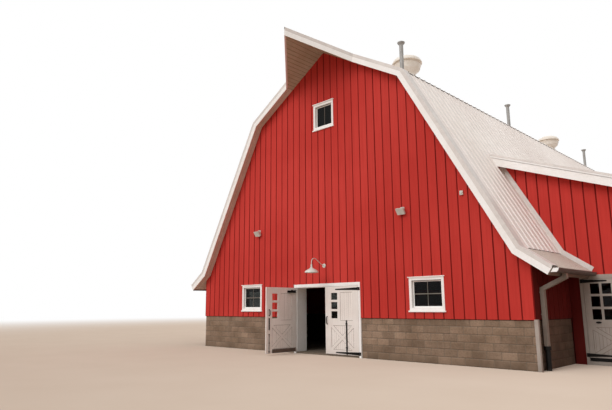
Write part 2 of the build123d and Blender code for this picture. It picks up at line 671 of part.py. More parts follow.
# Boards round the edge of the wing roof.
with BuildPart() as wing_fascia:
    for y in (WING_FRONT - WING_OVERHANG - FASCIA, WING_BACK + WING_OVERHANG):
        with BuildSketch(section(y)):
            with BuildLine():
                Polyline(wing_meets_roof(0), (WING_EAVE + FASCIA, wing_z(WING_EAVE + FASCIA)),
                         (WING_EAVE + FASCIA, wing_z(WING_EAVE + FASCIA, WING_FASCIA_DEPTH)),
                         wing_meets_roof(WING_FASCIA_DEPTH), close=True)
            make_face()
        extrude(amount=-FASCIA)
    with BuildSketch(section(WING_FRONT - WING_OVERHANG)):
        with BuildLine():
            Polyline((WING_EAVE, wing_z(WING_EAVE)), (WING_EAVE + FASCIA, wing_z(WING_EAVE + FASCIA)),
                     (WING_EAVE + FASCIA, wing_z(WING_EAVE + FASCIA, WING_FASCIA_DEPTH)),
                     (WING_EAVE, wing_z(WING_EAVE, WING_FASCIA_DEPTH)), close=True)
        make_face()
    extrude(amount=-(WING_LENGTH + 2 * WING_OVERHANG))
save(wing_fascia, "wing_fascia")

# Flashing boards on the wing's end walls, up the main roof from the eave.
FLASHING_LINE = roof_line(ROOF_DEPTH + FLASHING_WIDTH)
flashing_foot = wing_meets_roof(WING_ROOF_DEPTH)
nx, nz = normal_of(LOWER_PITCH)
with BuildPart() as wing_flashing:
    for y in (WING_FRONT - FLASHING, WING_BACK):
        with BuildSketch(section(y)):
            with BuildLine():
                Polyline(flashing_foot, OUTER[2], OUTER[3], FLASHING_LINE[3], FLASHING_LINE[2],
                         (flashing_foot[0] + FLASHING_WIDTH * nx, flashing_foot[1] + FLASHING_WIDTH * nz),
                         close=True)
            make_face()
            with BuildLine():
                Polyline((0, wing_z(0, WING_ROOF_DEPTH)), (WING_RIGHT, wing_z(WING_RIGHT, WING_ROOF_DEPTH)),
                         (WING_RIGHT, 0), (0, 0), close=True)
            make_face(mode=Mode.INTERSECT)
        extrude(amount=-FLASHING)
save(wing_flashing, "wing_flashing")

# Door frames
def door_frame(face_y, centre, width, top, lining_depth):
    """Casing, lining and stops of a doorway in a wall whose outer face is at face_y."""
    stop_y = face_y + LEAF_THICKNESS - CASING_DEPTH + STOP_CLEARANCE
    with BuildPart() as frame:
        with BuildSketch(section(face_y - CASING_DEPTH)):
            with Locations((centre, 0)):
                Rectangle(width + 2 * CASING, top + DOOR_HEAD, align=(Align.CENTER, Align.MIN))
                Rectangle(width, top, align=(Align.CENTER, Align.MIN), mode=Mode.SUBTRACT)
        extrude(amount=-CASING_DEPTH)
        with BuildSketch(section(face_y)):
            with Locations((centre, FLOOR_DEPTH)):
                Rectangle(width + 2 * LINING, top + DOOR_HEAD - FLOOR_DEPTH, align=(Align.CENTER, Align.MIN))
                Rectangle(width, top - FLOOR_DEPTH, align=(Align.CENTER, Align.MIN), mode=Mode.SUBTRACT)
        extrude(amount=-lining_depth)
        with BuildSketch(section(stop_y)):
            with Locations((centre, FLOOR_DEPTH)):
                Rectangle(width, top - FLOOR_DEPTH, align=(Align.CENTER, Align.MIN))
                Rectangle(width - 2 * STOP, top - FLOOR_DEPTH - STOP, align=(Align.CENTER, Align.MIN),
                          mode=Mode.SUBTRACT)
        extrude(amount=-STOP_DEPTH)
    return frame.part


front_frame = door_frame(FRONT, DOOR_CENTRE, DOOR_WIDTH, DOOR_TOP, LINING_DEPTH)
with BuildPart() as front_door_frame:
    add(front_frame)
    # Packing behind the casing, where the blocks stand back from the siding
    with BuildSketch(section(FRONT)):
        for edge, side in ((DOOR_LEFT, -1), (DOOR_RIGHT, 1)):
            with Locations((edge + side * (CASING + LINING) / 2, 0)):
                Rectangle(CASING - LINING, BASE_HEIGHT, align=(Align.CENTER, Align.MIN))
    extrude(amount=-BASE_RECESS)
save(front_door_frame, "front_door_frame")

WING_DOOR_CENTRE = (WING_DOOR_LEFT + WING_DOOR_RIGHT) / 2
wing_frame = door_frame(WING_FRONT, WING_DOOR_CENTRE, WING_DOOR_WIDTH, WING_DOOR_TOP, WALL)
with BuildPart() as wing_door_frame:
    add(wing_frame)
    with BuildSketch(section(WING_FRONT - CASING_DEPTH)):
        with Locations((WING_DOOR_CENTRE, 0)):
            Rectangle(WING_DOOR_WIDTH, WING_SILL, align=(Align.CENTER, Align.MIN))
    extrude(amount=-CASING_DEPTH)
    with BuildSketch(section(WING_FRONT)):
        with Locations((WING_DOOR_CENTRE, FLOOR_DEPTH)):
            Rectangle(WING_DOOR_WIDTH, WING_SILL - FLOOR_DEPTH, align=(Align.CENTER, Align.MIN))
    extrude(amount=-WALL)
    # The head of the casing is scribed round the main roof's eave.
    with BuildSketch(section(WING_FRONT - CASING_DEPTH)):
        with BuildLine():
            Polyline(*UNDER[2:], *reversed(EAVE_BOARD[1:]), *reversed(OUTER[2:]), close=True)
        make_face()
    extrude(amount=-CASING_DEPTH, mode=Mode.SUBTRACT)
save(wing_door_frame, "wing_door_frame")


# Door leaves, each measured along the leaf from its hinge line (u) and up from the ground (z)
@dataclass(frozen=True)
class Leaf:
    """A side-hung leaf as it stands at rest."""

    name: str
    axis: tuple  # hinge line in X and Y
    along: tuple  # direction in X and Y whose left-hand side is indoors
    hand: int  # 1 when the leaf runs from its hinge along that direction, -1 when against it
    width: float
    foot: float
    top: float
    pane: tuple  # width and height of one pane
    panes: tuple  # u and z of the middle of each pane
    panels: tuple  # u and z limits of each sunk panel
    braced: tuple  # limits of the panel that holds the crossed braces
    hinge_zs: tuple
    strap_length: float

    def face(self):
        """Plane of the outer face, with its z axis outwards and its y axis up."""
        x, y = self.along
        plane = Plane(origin=(*self.axis, 0), x_dir=(x, y, 0), z_dir=(y, -x, 0))
        return plane.offset(-AXIS_OUT)

    def plan(self, z):
        """Plane across the hinge line, with its x axis along the leaf and its y axis indoors."""
        x, y = self.along
        return Plane(origin=(*self.axis, z), x_dir=(self.hand * x, self.hand * y, 0), z_dir=(0, 0, self.hand))

    def patch(self, u0, u1, z0, z1, mode=Mode.ADD):
        """Rectangle between these limits, for a sketch on the face."""
        with Locations((self.hand * (u0 + u1) / 2, (z0 + z1) / 2)):
            Rectangle(u1 - u0, z1 - z0, mode=mode)


def leaf_boards(leaf):
    """The wooden leaf: sunk panels on both faces, crossed braces and openings for the panes."""
    outer = leaf.face()
    u0, u1, z0, z1 = leaf.braced
    slope = degrees(atan2(z1 - z0, u1 - u0))
    faces = ((outer, -1), (outer.offset(-LEAF_THICKNESS), 1))
    with BuildPart() as boards:
        with BuildSketch(outer):
            leaf.patch(LEAF_GAP, LEAF_GAP + leaf.width, leaf.foot, leaf.top)
            with Locations(*[(leaf.hand * u, z) for u, z in leaf.panes]):
                Rectangle(*leaf.pane, mode=Mode.SUBTRACT)
        extrude(amount=-LEAF_THICKNESS)
        for face, inwards in faces:
            with BuildSketch(face):
                for panel in leaf.panels:
                    leaf.patch(*panel)
            extrude(amount=inwards * POCKET, mode=Mode.SUBTRACT)
            with BuildSketch(face.offset(inwards * POCKET)):
                with Locations((leaf.hand * (u0 + u1) / 2, (z0 + z1) / 2)):
                    Rectangle(2 * (u1 - u0), BRACE_WIDTH, rotation=slope)
                    Rectangle(2 * (u1 - u0), BRACE_WIDTH, rotation=-slope)
                leaf.patch(u0, u1, z0, z1, mode=Mode.INTERSECT)
            extrude(amount=inwards * (BRACE_SETBACK - POCKET))
    return boards


def leaf_glass(leaf):
    """The panes of a leaf, let in at the middle of its thickness."""
    with BuildPart() as panes:
        with BuildSketch(leaf.face().offset((PANE_GLASS - LEAF_THICKNESS) / 2)):
            with Locations(*[(leaf.hand * u, z) for u, z in leaf.panes]):
                Rectangle(*leaf.pane)
        extrude(amount=-PANE_GLASS)
    return panes


def barrel(leaf, z, height, side, bored):
    """A hinge barrel and its web, towards the strap on the leaf (side 1) or the plate on the frame (-1)."""
    with BuildPart() as part:
        with BuildSketch(leaf.plan(z)):
            RegularPolygon(KNUCKLE_RADIUS, 12)
            with BuildLine():
                Polyline((side * WEB_TOE, AXIS_OUT), (side * WEB, AXIS_OUT), (side * WEB, AXIS_OUT - STRAP),
                         (side * 0.95 * KNUCKLE_RADIUS, -0.3 * KNUCKLE_RADIUS), (0, 0),
                         (side * 0.4 * KNUCKLE_RADIUS, 0.9 * KNUCKLE_RADIUS), close=True)
            make_face()
            if bored:
                Circle(PIN_RADIUS + PIN_PLAY, mode=Mode.SUBTRACT)
        extrude(amount=height / 2, both=True)
    return part.part


def straps(leaf):
    """The moving halves of a leaf's hinges: tapered straps on its outer face, each with a bored barrel."""
    barrels = [barrel(leaf, z, KNUCKLE_HEIGHT, 1, True) for z in leaf.hinge_zs]
    with BuildPart() as part:
        add(barrels)
        with BuildSketch(leaf.face()):
            for z in leaf.hinge_zs:
                with BuildLine():
                    root = leaf.hand * WEB_TOE
                    tip = leaf.hand * leaf.strap_length
                    Polyline((root, z - STRAP_ROOT / 2), (root, z + STRAP_ROOT / 2),
                             (tip, z + STRAP_TIP / 2), (tip, z - STRAP_TIP / 2), close=True)
                make_face()
                with Locations((tip, z)):
                    RegularPolygon(STRAP_TIP / 2, 12)
        extrude(amount=STRAP)
    return part.part


def pintles(leaf):
    """The fixed halves: a plate on the casing, a barrel above and below the leaf's and the pin."""
    rise = (KNUCKLE_HEIGHT + PINTLE_KNUCKLE) / 2 + KNUCKLE_GAP
    levels = [z + step for z in leaf.hinge_zs for step in (-rise, rise)]
    barrels = [barrel(leaf, z, PINTLE_KNUCKLE, -1, False) for z in levels]
    with BuildPart() as part:
        add(barrels)
        for z in leaf.hinge_zs:
            with BuildSketch(leaf.plan(z)):
                Circle(PIN_RADIUS)
            extrude(amount=rise, both=True)
        reach = rise + PINTLE_KNUCKLE / 2
        with BuildSketch(leaf.face()):
            for z in leaf.hinge_zs:
                leaf.patch(-PINTLE_PLATE, -WEB_TOE, z - reach, z + reach)
        extrude(amount=STRAP - 1)
    return part.part


def pull(face, x, z, height, outwards):
    """A bowed pull on two rosettes; outwards is 1 on the outer face and -1 on the inner one."""
    reach = outwards * PULL_REACH
    with BuildPart() as part:
        with BuildLine(face) as grip:
            Polyline((x, z - height / 2, 0), (x, z - height / 2, reach - outwards * PULL_BEND),
                     (x, z - height / 2 + PULL_BEND, reach), (x, z + height / 2 - PULL_BEND, reach),
                     (x, z + height / 2, reach - outwards * PULL_BEND), (x, z + height / 2, 0))
        with BuildSketch(Plane(origin=grip.wires()[0] @ 0, z_dir=grip.wires()[0] % 0)):
            RegularPolygon(PULL_RADIUS, 8)
        sweep(path=grip.wires()[0], transition=Transition.RIGHT)
        with BuildSketch(face):
            with Locations((x, z - height / 2), (x, z + height / 2)):
                RegularPolygon(ROSETTE, 12)
        extrude(amount=outwards * ROSETTE_DEPTH)
    return part.part


FRONT_LEAF = DOOR_WIDTH / 2 - LEAF_GAP - MEETING_GAP / 2
FREE_EDGE = LEAF_GAP + FRONT_LEAF
FRONT_LEAF_SHAPE = {
    "width": FRONT_LEAF,
    "foot": FLOOR_DEPTH + FLOOR_CLEARANCE,
    "top": DOOR_TOP - LEAF_GAP,
    "pane": (PANE_WIDTH, PANE_HEIGHT),
    "panes": tuple((FREE_EDGE - 382, PANE_TOP_Z - row * PANE_PITCH) for row in range(3)),
    "panels": ((234, 736, 1100, 1980), (200, FREE_EDGE - 240, 200, 950)),
    "braced": (200, FREE_EDGE - 240, 200, 950),
    "hinge_zs": (FLOOR_DEPTH + FLOOR_CLEARANCE + HINGE_LIFT, DOOR_TOP - LEAF_GAP - HINGE_INSET),
    "strap_length": 920,
}
HINGE_Y = CASING_DEPTH + AXIS_OUT
left_leaf = Leaf("left_leaf", (DOOR_LEFT, FRONT - HINGE_Y), (0, -1), 1, **FRONT_LEAF_SHAPE)
right_leaf = Leaf("right_leaf", (DOOR_RIGHT, FRONT - HINGE_Y), (1, 0), -1, **FRONT_LEAF_SHAPE)

WING_LEAF = WING_DOOR_WIDTH - 2 * LEAF_GAP
WING_FREE_EDGE = LEAF_GAP + WING_LEAF
WING_PANES = tuple(
    (LEAF_GAP + WING_LEAF / 2 + column * WING_PANE_PITCH[0], WING_PANE_TOP_Z - row * WING_PANE_PITCH[1])
    for column in (-1.5, -0.5, 0.5, 1.5)
    for row in range(3)
)
wing_leaf = Leaf(
    name="wing_leaf", axis=(WING_DOOR_LEFT, WING_FRONT - HINGE_Y), along=(1, 0), hand=1, width=WING_LEAF,
    foot=WING_SILL + FLOOR_CLEARANCE, top=WING_DOOR_TOP - LEAF_GAP, pane=(WING_PANE_WIDTH, WING_PANE_HEIGHT),
    panes=WING_PANES,
    panels=((130, WING_FREE_EDGE - 122, 235, 960),), braced=(130, WING_FREE_EDGE - 122, 235, 960),
    hinge_zs=(250, 2158), strap_length=575,
)

for leaf in (left_leaf, right_leaf, wing_leaf):
    save(leaf_boards(leaf), leaf.name)
    save(leaf_glass(leaf), f"{leaf.name}_glass")

# Outer pull and, indoors, the lock, the foot bolt, the closer and the kick plate of the left leaf
outer = left_leaf.face()
inner = outer.offset(-LEAF_THICKNESS)
STILE_U = FREE_EDGE - 120
moving_straps = straps(left_leaf)
grips = [pull(outer, FREE_EDGE - 60, PULL_Z, PULL_HEIGHT, 1),
         pull(inner, STILE_U, INNER_PULL_Z, INNER_PULL_HEIGHT, -1)]
with BuildPart() as left_leaf_hardware:
    add(moving_straps)
    add(grips)
    with BuildSketch(inner):
        left_leaf.patch(STILE_U - 22, STILE_U + 22, 800, 1180)
    extrude(amount=-12)
    with BuildSketch(inner):
        left_leaf.patch(60, FREE_EDGE - 260, 75, 190)
    extrude(amount=-8)
    with BuildSketch(inner):
        left_leaf.patch(80, 440, left_leaf.top - 172, left_leaf.top - 97)
    extrude(amount=-55)
    with BuildSketch(inner):
        left_leaf.patch(STILE_U - 8, STILE_U + 8, 80, 680)
        for z in (110, 380, 650):
            left_leaf.patch(STILE_U - 20, STILE_U + 20, z, z + 30)
    extrude(amount=-14)
save(left_leaf_hardware, "left_leaf_hardware")

# Pull and cane bolt of the right leaf
outer = right_leaf.face()
moving_straps = straps(right_leaf)
grip = pull(outer, -(FREE_EDGE - 75), PULL_Z, PULL_HEIGHT, 1)
BOLT_U = DOOR_RIGHT - 853
with BuildPart() as right_leaf_hardware:
    add(moving_straps)
    add(grip)
    with BuildSketch(outer):
        right_leaf.patch(BOLT_U - 22, BOLT_U + 22, 72, 1090)
        with Locations((-BOLT_U, 1090)):
            Circle(22)
    extrude(amount=16)
    with BuildSketch(outer):
        for z in (260, 980):
            right_leaf.patch(BOLT_U - 34, BOLT_U + 34, z, z + 40)
    extrude(amount=20)
save(right_leaf_hardware, "right_leaf_hardware")

# Pull, latch plate and weather strip of the wing's leaf
outer = wing_leaf.face()
moving_straps = straps(wing_leaf)
grip = pull(outer, WING_FREE_EDGE - 70, PULL_Z, PULL_HEIGHT, 1)
with BuildPart() as wing_leaf_hardware:
    add(moving_straps)
    add(grip)
    with BuildSketch(outer):
        wing_leaf.patch(LEAF_GAP, WING_FREE_EDGE, wing_leaf.foot, wing_leaf.foot + 80)
    extrude(amount=6)
    with BuildSketch(outer):
        with Locations((300, 1085)):
            Ellipse(70, 28)
    extrude(amount=10)
save(wing_leaf_hardware, "wing_leaf_hardware")

# The left leaf stands open, but its fixed hinge halves face the way it closes.
fixed_hinges = [pintles(leaf) for leaf in (replace(left_leaf, along=(1, 0)), right_leaf, wing_leaf)]
with BuildPart() as hinge_pintles:
    add(fixed_hinges)
save(hinge_pintles, "hinge_pintles")

# Ventilators: a round hood over a bowl, on a neck that is cut to straddle the ridge
HALF_SADDLE = [
    (RIDGE_CAP_WIDTH, upper_z(RIDGE_CAP_WIDTH, ROOF_DEPTH + RIDGE_CAP)),
    (RIDGE_CAP_WIDTH, upper_z(RIDGE_CAP_WIDTH, ROOF_DEPTH)),
    (CURB, upper_z(CURB, ROOF_DEPTH)),
    (CURB, KNEE[1]),
]
CAP_SADDLE = [roof_line(ROOF_DEPTH + RIDGE_CAP)[0], *HALF_SADDLE, *reversed(mirrored(HALF_SADDLE, -1))]
VENTILATOR_TOP = OUTER[0][1] + VENTILATOR_HEIGHT
HOOD_RIM = VENTILATOR_TOP - VENTILATOR_HOOD
BOWL_TOP = HOOD_RIM - VENTILATOR_GAP
BOWL_RADIUS = (VENTILATOR_RADIUS + VENTILATOR_THROAT) / 2
VENTILATOR_RINGS = [
    (VENTILATOR_NECK, KNEE[1]),
    (VENTILATOR_NECK, BOWL_TOP - VENTILATOR_BOWL),
    (0.9 * BOWL_RADIUS, BOWL_TOP - 0.55 * VENTILATOR_BOWL),
    (BOWL_RADIUS, BOWL_TOP),
    (VENTILATOR_THROAT, BOWL_TOP),
    (VENTILATOR_THROAT, HOOD_RIM),
    (VENTILATOR_RADIUS, HOOD_RIM),
    (VENTILATOR_RADIUS, HOOD_RIM + 0.1 * VENTILATOR_HOOD),
    (0.9 * VENTILATOR_RADIUS, VENTILATOR_TOP - 0.45 * VENTILATOR_HOOD),
    (VENTILATOR_CROWN, VENTILATOR_TOP),
]
drums = [drum((0, FRONT + setback), VENTILATOR_RINGS, 32) for setback in VENTILATOR_OFFSETS]
with BuildPart() as ventilators:
    add(drums)
    for setback in VENTILATOR_OFFSETS:
        with BuildSketch(section(FRONT + setback - VENTILATOR_RADIUS)):
            with BuildLine():
                Polyline(*CAP_SADDLE, close=True)
            make_face()
        extrude(amount=-2 * VENTILATOR_RADIUS, mode=Mode.SUBTRACT)
save(ventilators, "ventilators")

# Vent pipes: each widens to a rim at its top and to a skirt on the roof.
PIPE_TOP = OUTER[0][1] + PIPE_HEIGHT
SKIRT_FOOT = upper_z(PIPE_X - PIPE_SKIRT, ROOF_DEPTH)
PIPE_RINGS = [
    (PIPE_SKIRT, KNEE[1]),
    (PIPE_SKIRT, SKIRT_FOOT),
    (PIPE_RADIUS, SKIRT_FOOT + PIPE_SKIRT_HEIGHT),
    (PIPE_RADIUS, PIPE_TOP - PIPE_RIM - PIPE_FUNNEL),
    (PIPE_FLARE, PIPE_TOP - PIPE_RIM),
    (PIPE_FLARE, PIPE_TOP),
]
drums = [drum((PIPE_X, FRONT + setback), PIPE_RINGS, 16) for setback in PIPE_OFFSETS]
with BuildPart() as vent_pipes:
    add(drums)
    for setback in PIPE_OFFSETS:
        with BuildSketch(section(FRONT + setback - PIPE_SKIRT)):
            with BuildLine():
                Polyline((PIPE_X - PIPE_SKIRT, KNEE[1]), (PIPE_X + PIPE_SKIRT, KNEE[1]),
                         (PIPE_X + PIPE_SKIRT, upper_z(PIPE_X + PIPE_SKIRT, ROOF_DEPTH)),
                         (PIPE_X - PIPE_SKIRT, upper_z(PIPE_X - PIPE_SKIRT, ROOF_DEPTH)), close=True)
            make_face()
        extrude(amount=-2 * PIPE_SKIRT, mode=Mode.SUBTRACT)
save(vent_pipes, "vent_pipes")

# Gutter: its back lies against the eave board and its front bellies out.
GUTTER_START = ROOF_START
GUTTER_END = WING_FRONT - CASING_DEPTH - GUTTER_CLEARANCE
lip_x, lip_z = EAVE_BOARD[1]
back_lean = tan(radians(FLARE_PITCH))
back_wall = GUTTER_WALL / cos(radians(FLARE_PITCH))
foot_z = lip_z - GUTTER_DEPTH
foot_x = lip_x - GUTTER_DEPTH * back_lean
GUTTER_FOOT_MIDDLE = foot_x + 0.55 * GUTTER_WIDTH


def gutter_front(inset):
    """Foot, belly and lip of the gutter's front, this far inside its outer face."""
    foot = (foot_x + 1.1 * GUTTER_WIDTH - inset, foot_z + inset)
    lip = (lip_x + GUTTER_WIDTH - inset, lip_z)
    belly = ((foot[0] + lip[0]) / 2 + GUTTER_BELLY, (foot[1] + lip[1]) / 2 - GUTTER_BELLY)
    return foot, belly, lip


with BuildPart() as gutter:
    for start, end, hollow in (
        (GUTTER_START, GUTTER_START + GUTTER_WALL, False),
        (GUTTER_START + GUTTER_WALL, GUTTER_END - GUTTER_WALL, True),
        (GUTTER_END - GUTTER_WALL, GUTTER_END, False),
    ):
        outer_front = gutter_front(0)
        inner_front = gutter_front(GUTTER_WALL)
        with BuildSketch(section(start)):
            with BuildLine():
                Polyline(outer_front[2], (lip_x, lip_z), (foot_x, foot_z), outer_front[0])
                ThreePointArc(*outer_front)
            make_face()
            if hollow:
                with BuildLine():
                    inner_foot = (foot_x + back_wall + GUTTER_WALL * back_lean, foot_z + GUTTER_WALL)
                    Polyline(inner_front[2], (lip_x + back_wall, lip_z), inner_foot, inner_front[0])
                    ThreePointArc(*inner_front)
                make_face(mode=Mode.SUBTRACT)
        extrude(amount=start - end)
save(gutter, "gutter")

# Downspout: a box section led back from the gutter to the wall
SPOUT_Y = FRONT + DOWNSPOUT_OFFSET
SPOUT_X = HALF + DOWNSPOUT_BRACKET + DOWNSPOUT_DEPTH / 2
with BuildPart() as downspout:
    with BuildLine() as run:
        Polyline((GUTTER_FOOT_MIDDLE, SPOUT_Y, foot_z),
                 (GUTTER_FOOT_MIDDLE, SPOUT_Y, foot_z - DOWNSPOUT_DROP),
                 (SPOUT_X, SPOUT_Y, DOWNSPOUT_ELBOW_Z),
                 (SPOUT_X, SPOUT_Y, DRAIN_TOP - DOWNSPOUT_SOCKET))
    with BuildSketch(Plane(origin=(GUTTER_FOOT_MIDDLE, SPOUT_Y, foot_z), x_dir=(1, 0, 0), z_dir=(0, 0, -1))):
        Rectangle(DOWNSPOUT_DEPTH, DOWNSPOUT_WIDTH)
        offset(amount=-DOWNSPOUT_WALL, kind=Kind.INTERSECTION, mode=Mode.SUBTRACT)
    sweep(transition=Transition.RIGHT)
    with BuildSketch(Plane.YZ.offset(HALF)):
        with Locations(*[(SPOUT_Y, z) for z in BRACKET_ZS]):
            Rectangle(DOWNSPOUT_WIDTH, BRACKET_HEIGHT)
    extrude(amount=DOWNSPOUT_BRACKET)
save(downspout, "downspout")

with BuildPart() as drain_pipe:
    with BuildSketch(section(SPOUT_Y)):
        bell_foot = DRAIN_TOP - DRAIN_BELL_DEPTH
        pipe = SPOUT_X + DRAIN_RADIUS
        bell = SPOUT_X + DRAIN_BELL
        with BuildLine():
            Polyline((pipe, 0), (pipe, bell_foot), (bell, bell_foot), (bell, DRAIN_TOP),
                     (bell - DRAIN_WALL, DRAIN_TOP), (bell - DRAIN_WALL, bell_foot + DRAIN_WALL),
                     (pipe - DRAIN_WALL, bell_foot + DRAIN_WALL), (pipe - DRAIN_WALL, 0), close=True)
        make_face()
    revolve(axis=Axis((SPOUT_X, SPOUT_Y, 0), (0, 0, 1)))
    # A lug holds the bell to the blocks.
    with BuildSketch(Plane.YZ.offset(BASE_FACE)):
        with Locations((SPOUT_Y, DRAIN_TOP - DRAIN_BELL_DEPTH / 2)):
            Rectangle(50, BRACKET_HEIGHT)
    extrude(until=Until.NEXT)
save(drain_pipe, "drain_pipe")

with BuildPart() as corner_post:
    with BuildSketch(Plane.XY):
        with Locations((BASE_FACE, FRONT - POST_FRONT)):
            Rectangle(POST, POST, align=(Align.MIN, Align.MIN))
    extrude(amount=BASE_HEIGHT)
    fillet(corner_post.edges().filter_by(Axis.Z), radius=6)
save(corner_post, "corner_post")

# Barn lamp: a mitred arm from a wall plate to a drum-shaped, open shade
SHADE_CENTRE = (LAMP_X, FRONT - LAMP_REACH)
SHADE_TOP_Z = SHADE_RIM_Z + SHADE_CROWN
SHOULDER = (0.88 * SHADE_RADIUS, SHADE_RIM_Z + 0.42 * SHADE_CROWN)
BROW = (0.45 * SHADE_RADIUS, SHADE_RIM_Z + 0.85 * SHADE_CROWN)
SHADE_RINGS = [
    (SHADE_RADIUS, SHADE_RIM_Z),
    SHOULDER,
    BROW,
    (SHADE_NECK, SHADE_TOP_Z + 3 * SHADE_WALL),
    (SHADE_NECK - 10, SHADE_NECK_Z),
]
HOLLOW_RINGS = [
    (SHADE_RADIUS - SHADE_WALL, SHADE_RIM_Z),
    (SHOULDER[0] - SHADE_WALL, SHOULDER[1] - SHADE_WALL / 2),
    (BROW[0], BROW[1] - SHADE_WALL),
    (SHADE_NECK, SHADE_TOP_Z),
]
ARM_POINTS = (
    (LAMP_PLATE_DEPTH / 2, LAMP_Z),
    (0.2 * LAMP_REACH, LAMP_Z + 30),
    (0.45 * LAMP_REACH, LAMP_Z + 120),
    (0.7 * LAMP_REACH, LAMP_ARM_TOP - 10),
    (0.84 * LAMP_REACH, LAMP_ARM_TOP),
    (0.96 * LAMP_REACH, LAMP_ARM_TOP - 50),
    (LAMP_REACH, LAMP_ARM_TOP - 120),
    (LAMP_REACH, SHADE_NECK_Z - 20),
)
shade = drum(SHADE_CENTRE, SHADE_RINGS, 24)
hollow = drum(SHADE_CENTRE, HOLLOW_RINGS, 24)
wall_plate = drum((0, 0), [(LAMP_PLATE, 0), (LAMP_PLATE_FACE, LAMP_PLATE_DEPTH)], 24)
with BuildPart() as barn_lamp:
    add(shade)
    add(hollow, mode=Mode.SUBTRACT)
    with BuildLine() as arm:
        Polyline(*[(LAMP_X, FRONT - reach, z) for reach, z in ARM_POINTS])
    with BuildSketch(Plane(origin=arm.wires()[0] @ 0, z_dir=arm.wires()[0] % 0)):
        RegularPolygon(LAMP_ARM, 8)
    sweep(path=arm.wires()[0], transition=Transition.RIGHT)
    add(Location((LAMP_X, FRONT, LAMP_Z), (90, 0, 0)) * wall_plate)
save(barn_lamp, "barn_lamp")

# Floodlights: a tilted head that widens to its lens, on a plate on the wall
with BuildPart() as floodlights:
    for x, z in FLOODLIGHTS:
        with BuildSketch(section(FRONT)):
            with Locations((x, z + 60)):
                Rectangle(FLOODLIGHT_PLATE, FLOODLIGHT_PLATE)
        extrude(amount=40)
        head = section(FRONT - 35).location * Location((x, z + 60, 0), (FLOODLIGHT_TILT, 0, 0))
        with BuildSketch(Plane(head)):
            Rectangle(110, 90)
        with BuildSketch(Plane(head).offset(90)):
            Rectangle(250, 190)
        with BuildSketch(Plane(head).offset(150)):
            Rectangle(260, 200)
        loft(ruled=True)
save(floodlights, "floodlights")
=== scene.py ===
"""Looks of the red barn: board siding, block base, ribbed metal roof, doors, windows and fittings.

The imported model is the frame, and every piece made here is a surface over it, worked out with numpy.
Lengths are in metres: X to the right of the front gable, Y to the back and Z up from the ground.
"""

from __future__ import annotations

import logging
import math
from collections.abc import Sequence
from dataclasses import dataclass, field
from enum import Enum

import bmesh
import bpy
import numpy as np
from bpy.types import ID, Material, Node, NodeSocket, NodeTree, Object
from mathutils import Matrix

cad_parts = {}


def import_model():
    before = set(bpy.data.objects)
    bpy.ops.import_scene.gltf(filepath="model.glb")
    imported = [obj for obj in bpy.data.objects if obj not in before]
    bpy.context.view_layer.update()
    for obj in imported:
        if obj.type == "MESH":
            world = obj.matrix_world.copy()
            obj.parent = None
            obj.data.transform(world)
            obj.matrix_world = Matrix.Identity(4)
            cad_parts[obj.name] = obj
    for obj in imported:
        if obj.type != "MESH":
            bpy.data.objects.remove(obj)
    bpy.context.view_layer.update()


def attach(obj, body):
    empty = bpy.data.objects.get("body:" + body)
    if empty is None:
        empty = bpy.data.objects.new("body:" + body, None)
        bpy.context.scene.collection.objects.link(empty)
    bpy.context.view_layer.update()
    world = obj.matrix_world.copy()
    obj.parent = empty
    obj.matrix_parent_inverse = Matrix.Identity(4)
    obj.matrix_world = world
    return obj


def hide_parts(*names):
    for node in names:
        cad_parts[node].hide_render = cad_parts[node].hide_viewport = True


log = logging.getLogger("barn")

Array = np.ndarray
Pair = tuple[float, float]
Triple = tuple[float, float, float]
Rect = tuple[float, float, float, float]
Box = tuple[float, float, float, float, float, float]

TO_RIGHT = (1.0, 0.0, 0.0)
TO_LEFT = (-1.0, 0.0, 0.0)
TO_BACK = (0.0, 1.0, 0.0)
TO_FRONT = (0.0, -1.0, 0.0)
UP = (0.0, 0.0, 1.0)

BOARD = 0.3048
HALF = 22 * BOARD
FRONT = -44 * BOARD
BACK = 44 * BOARD
BASE_TOP = 1.2
BASE_STEP = 0.02  # how far the block base stands back from the walls above
WING_FRONT = FRONT + 8 * BOARD
WING_BACK = WING_FRONT + 40 * BOARD
WING_RIGHT = HALF + 20 * BOARD
ROOF_START = FRONT - 0.3
ROOF_END = BACK + 0.3
GROOVE = 2.0  # shade of a face that lies in a groove


@dataclass
class Surface:
    """A mesh in the making: points, quads and one shade for each quad."""

    points: Array
    quads: Array
    shades: Array

    def placed(self, place: Array) -> Surface:
        """The surface moved from local coordinates by a 4 by 4 matrix."""
        return Surface(moved(self.points, place), self.quads, self.shades)

    def mirrored(self) -> Surface:
        """The surface with its first coordinate turned round and its faces still outwards."""
        return Surface(self.points * (-1, 1, 1), self.quads[:, ::-1], self.shades)


def moved(points: Array, place: Array) -> Array:
    """Points moved from local coordinates by a 4 by 4 matrix."""
    return points @ place[:3, :3].T + place[:3, 3]


def joined(parts: Sequence[Surface]) -> Surface:
    """All parts as one surface."""
    starts = np.cumsum([0] + [len(part.points) for part in parts[:-1]])
    return Surface(
        np.concatenate([part.points for part in parts]),
        np.concatenate([part.quads + start for part, start in zip(parts, starts)]),
        np.concatenate([part.shades for part in parts]),
    )


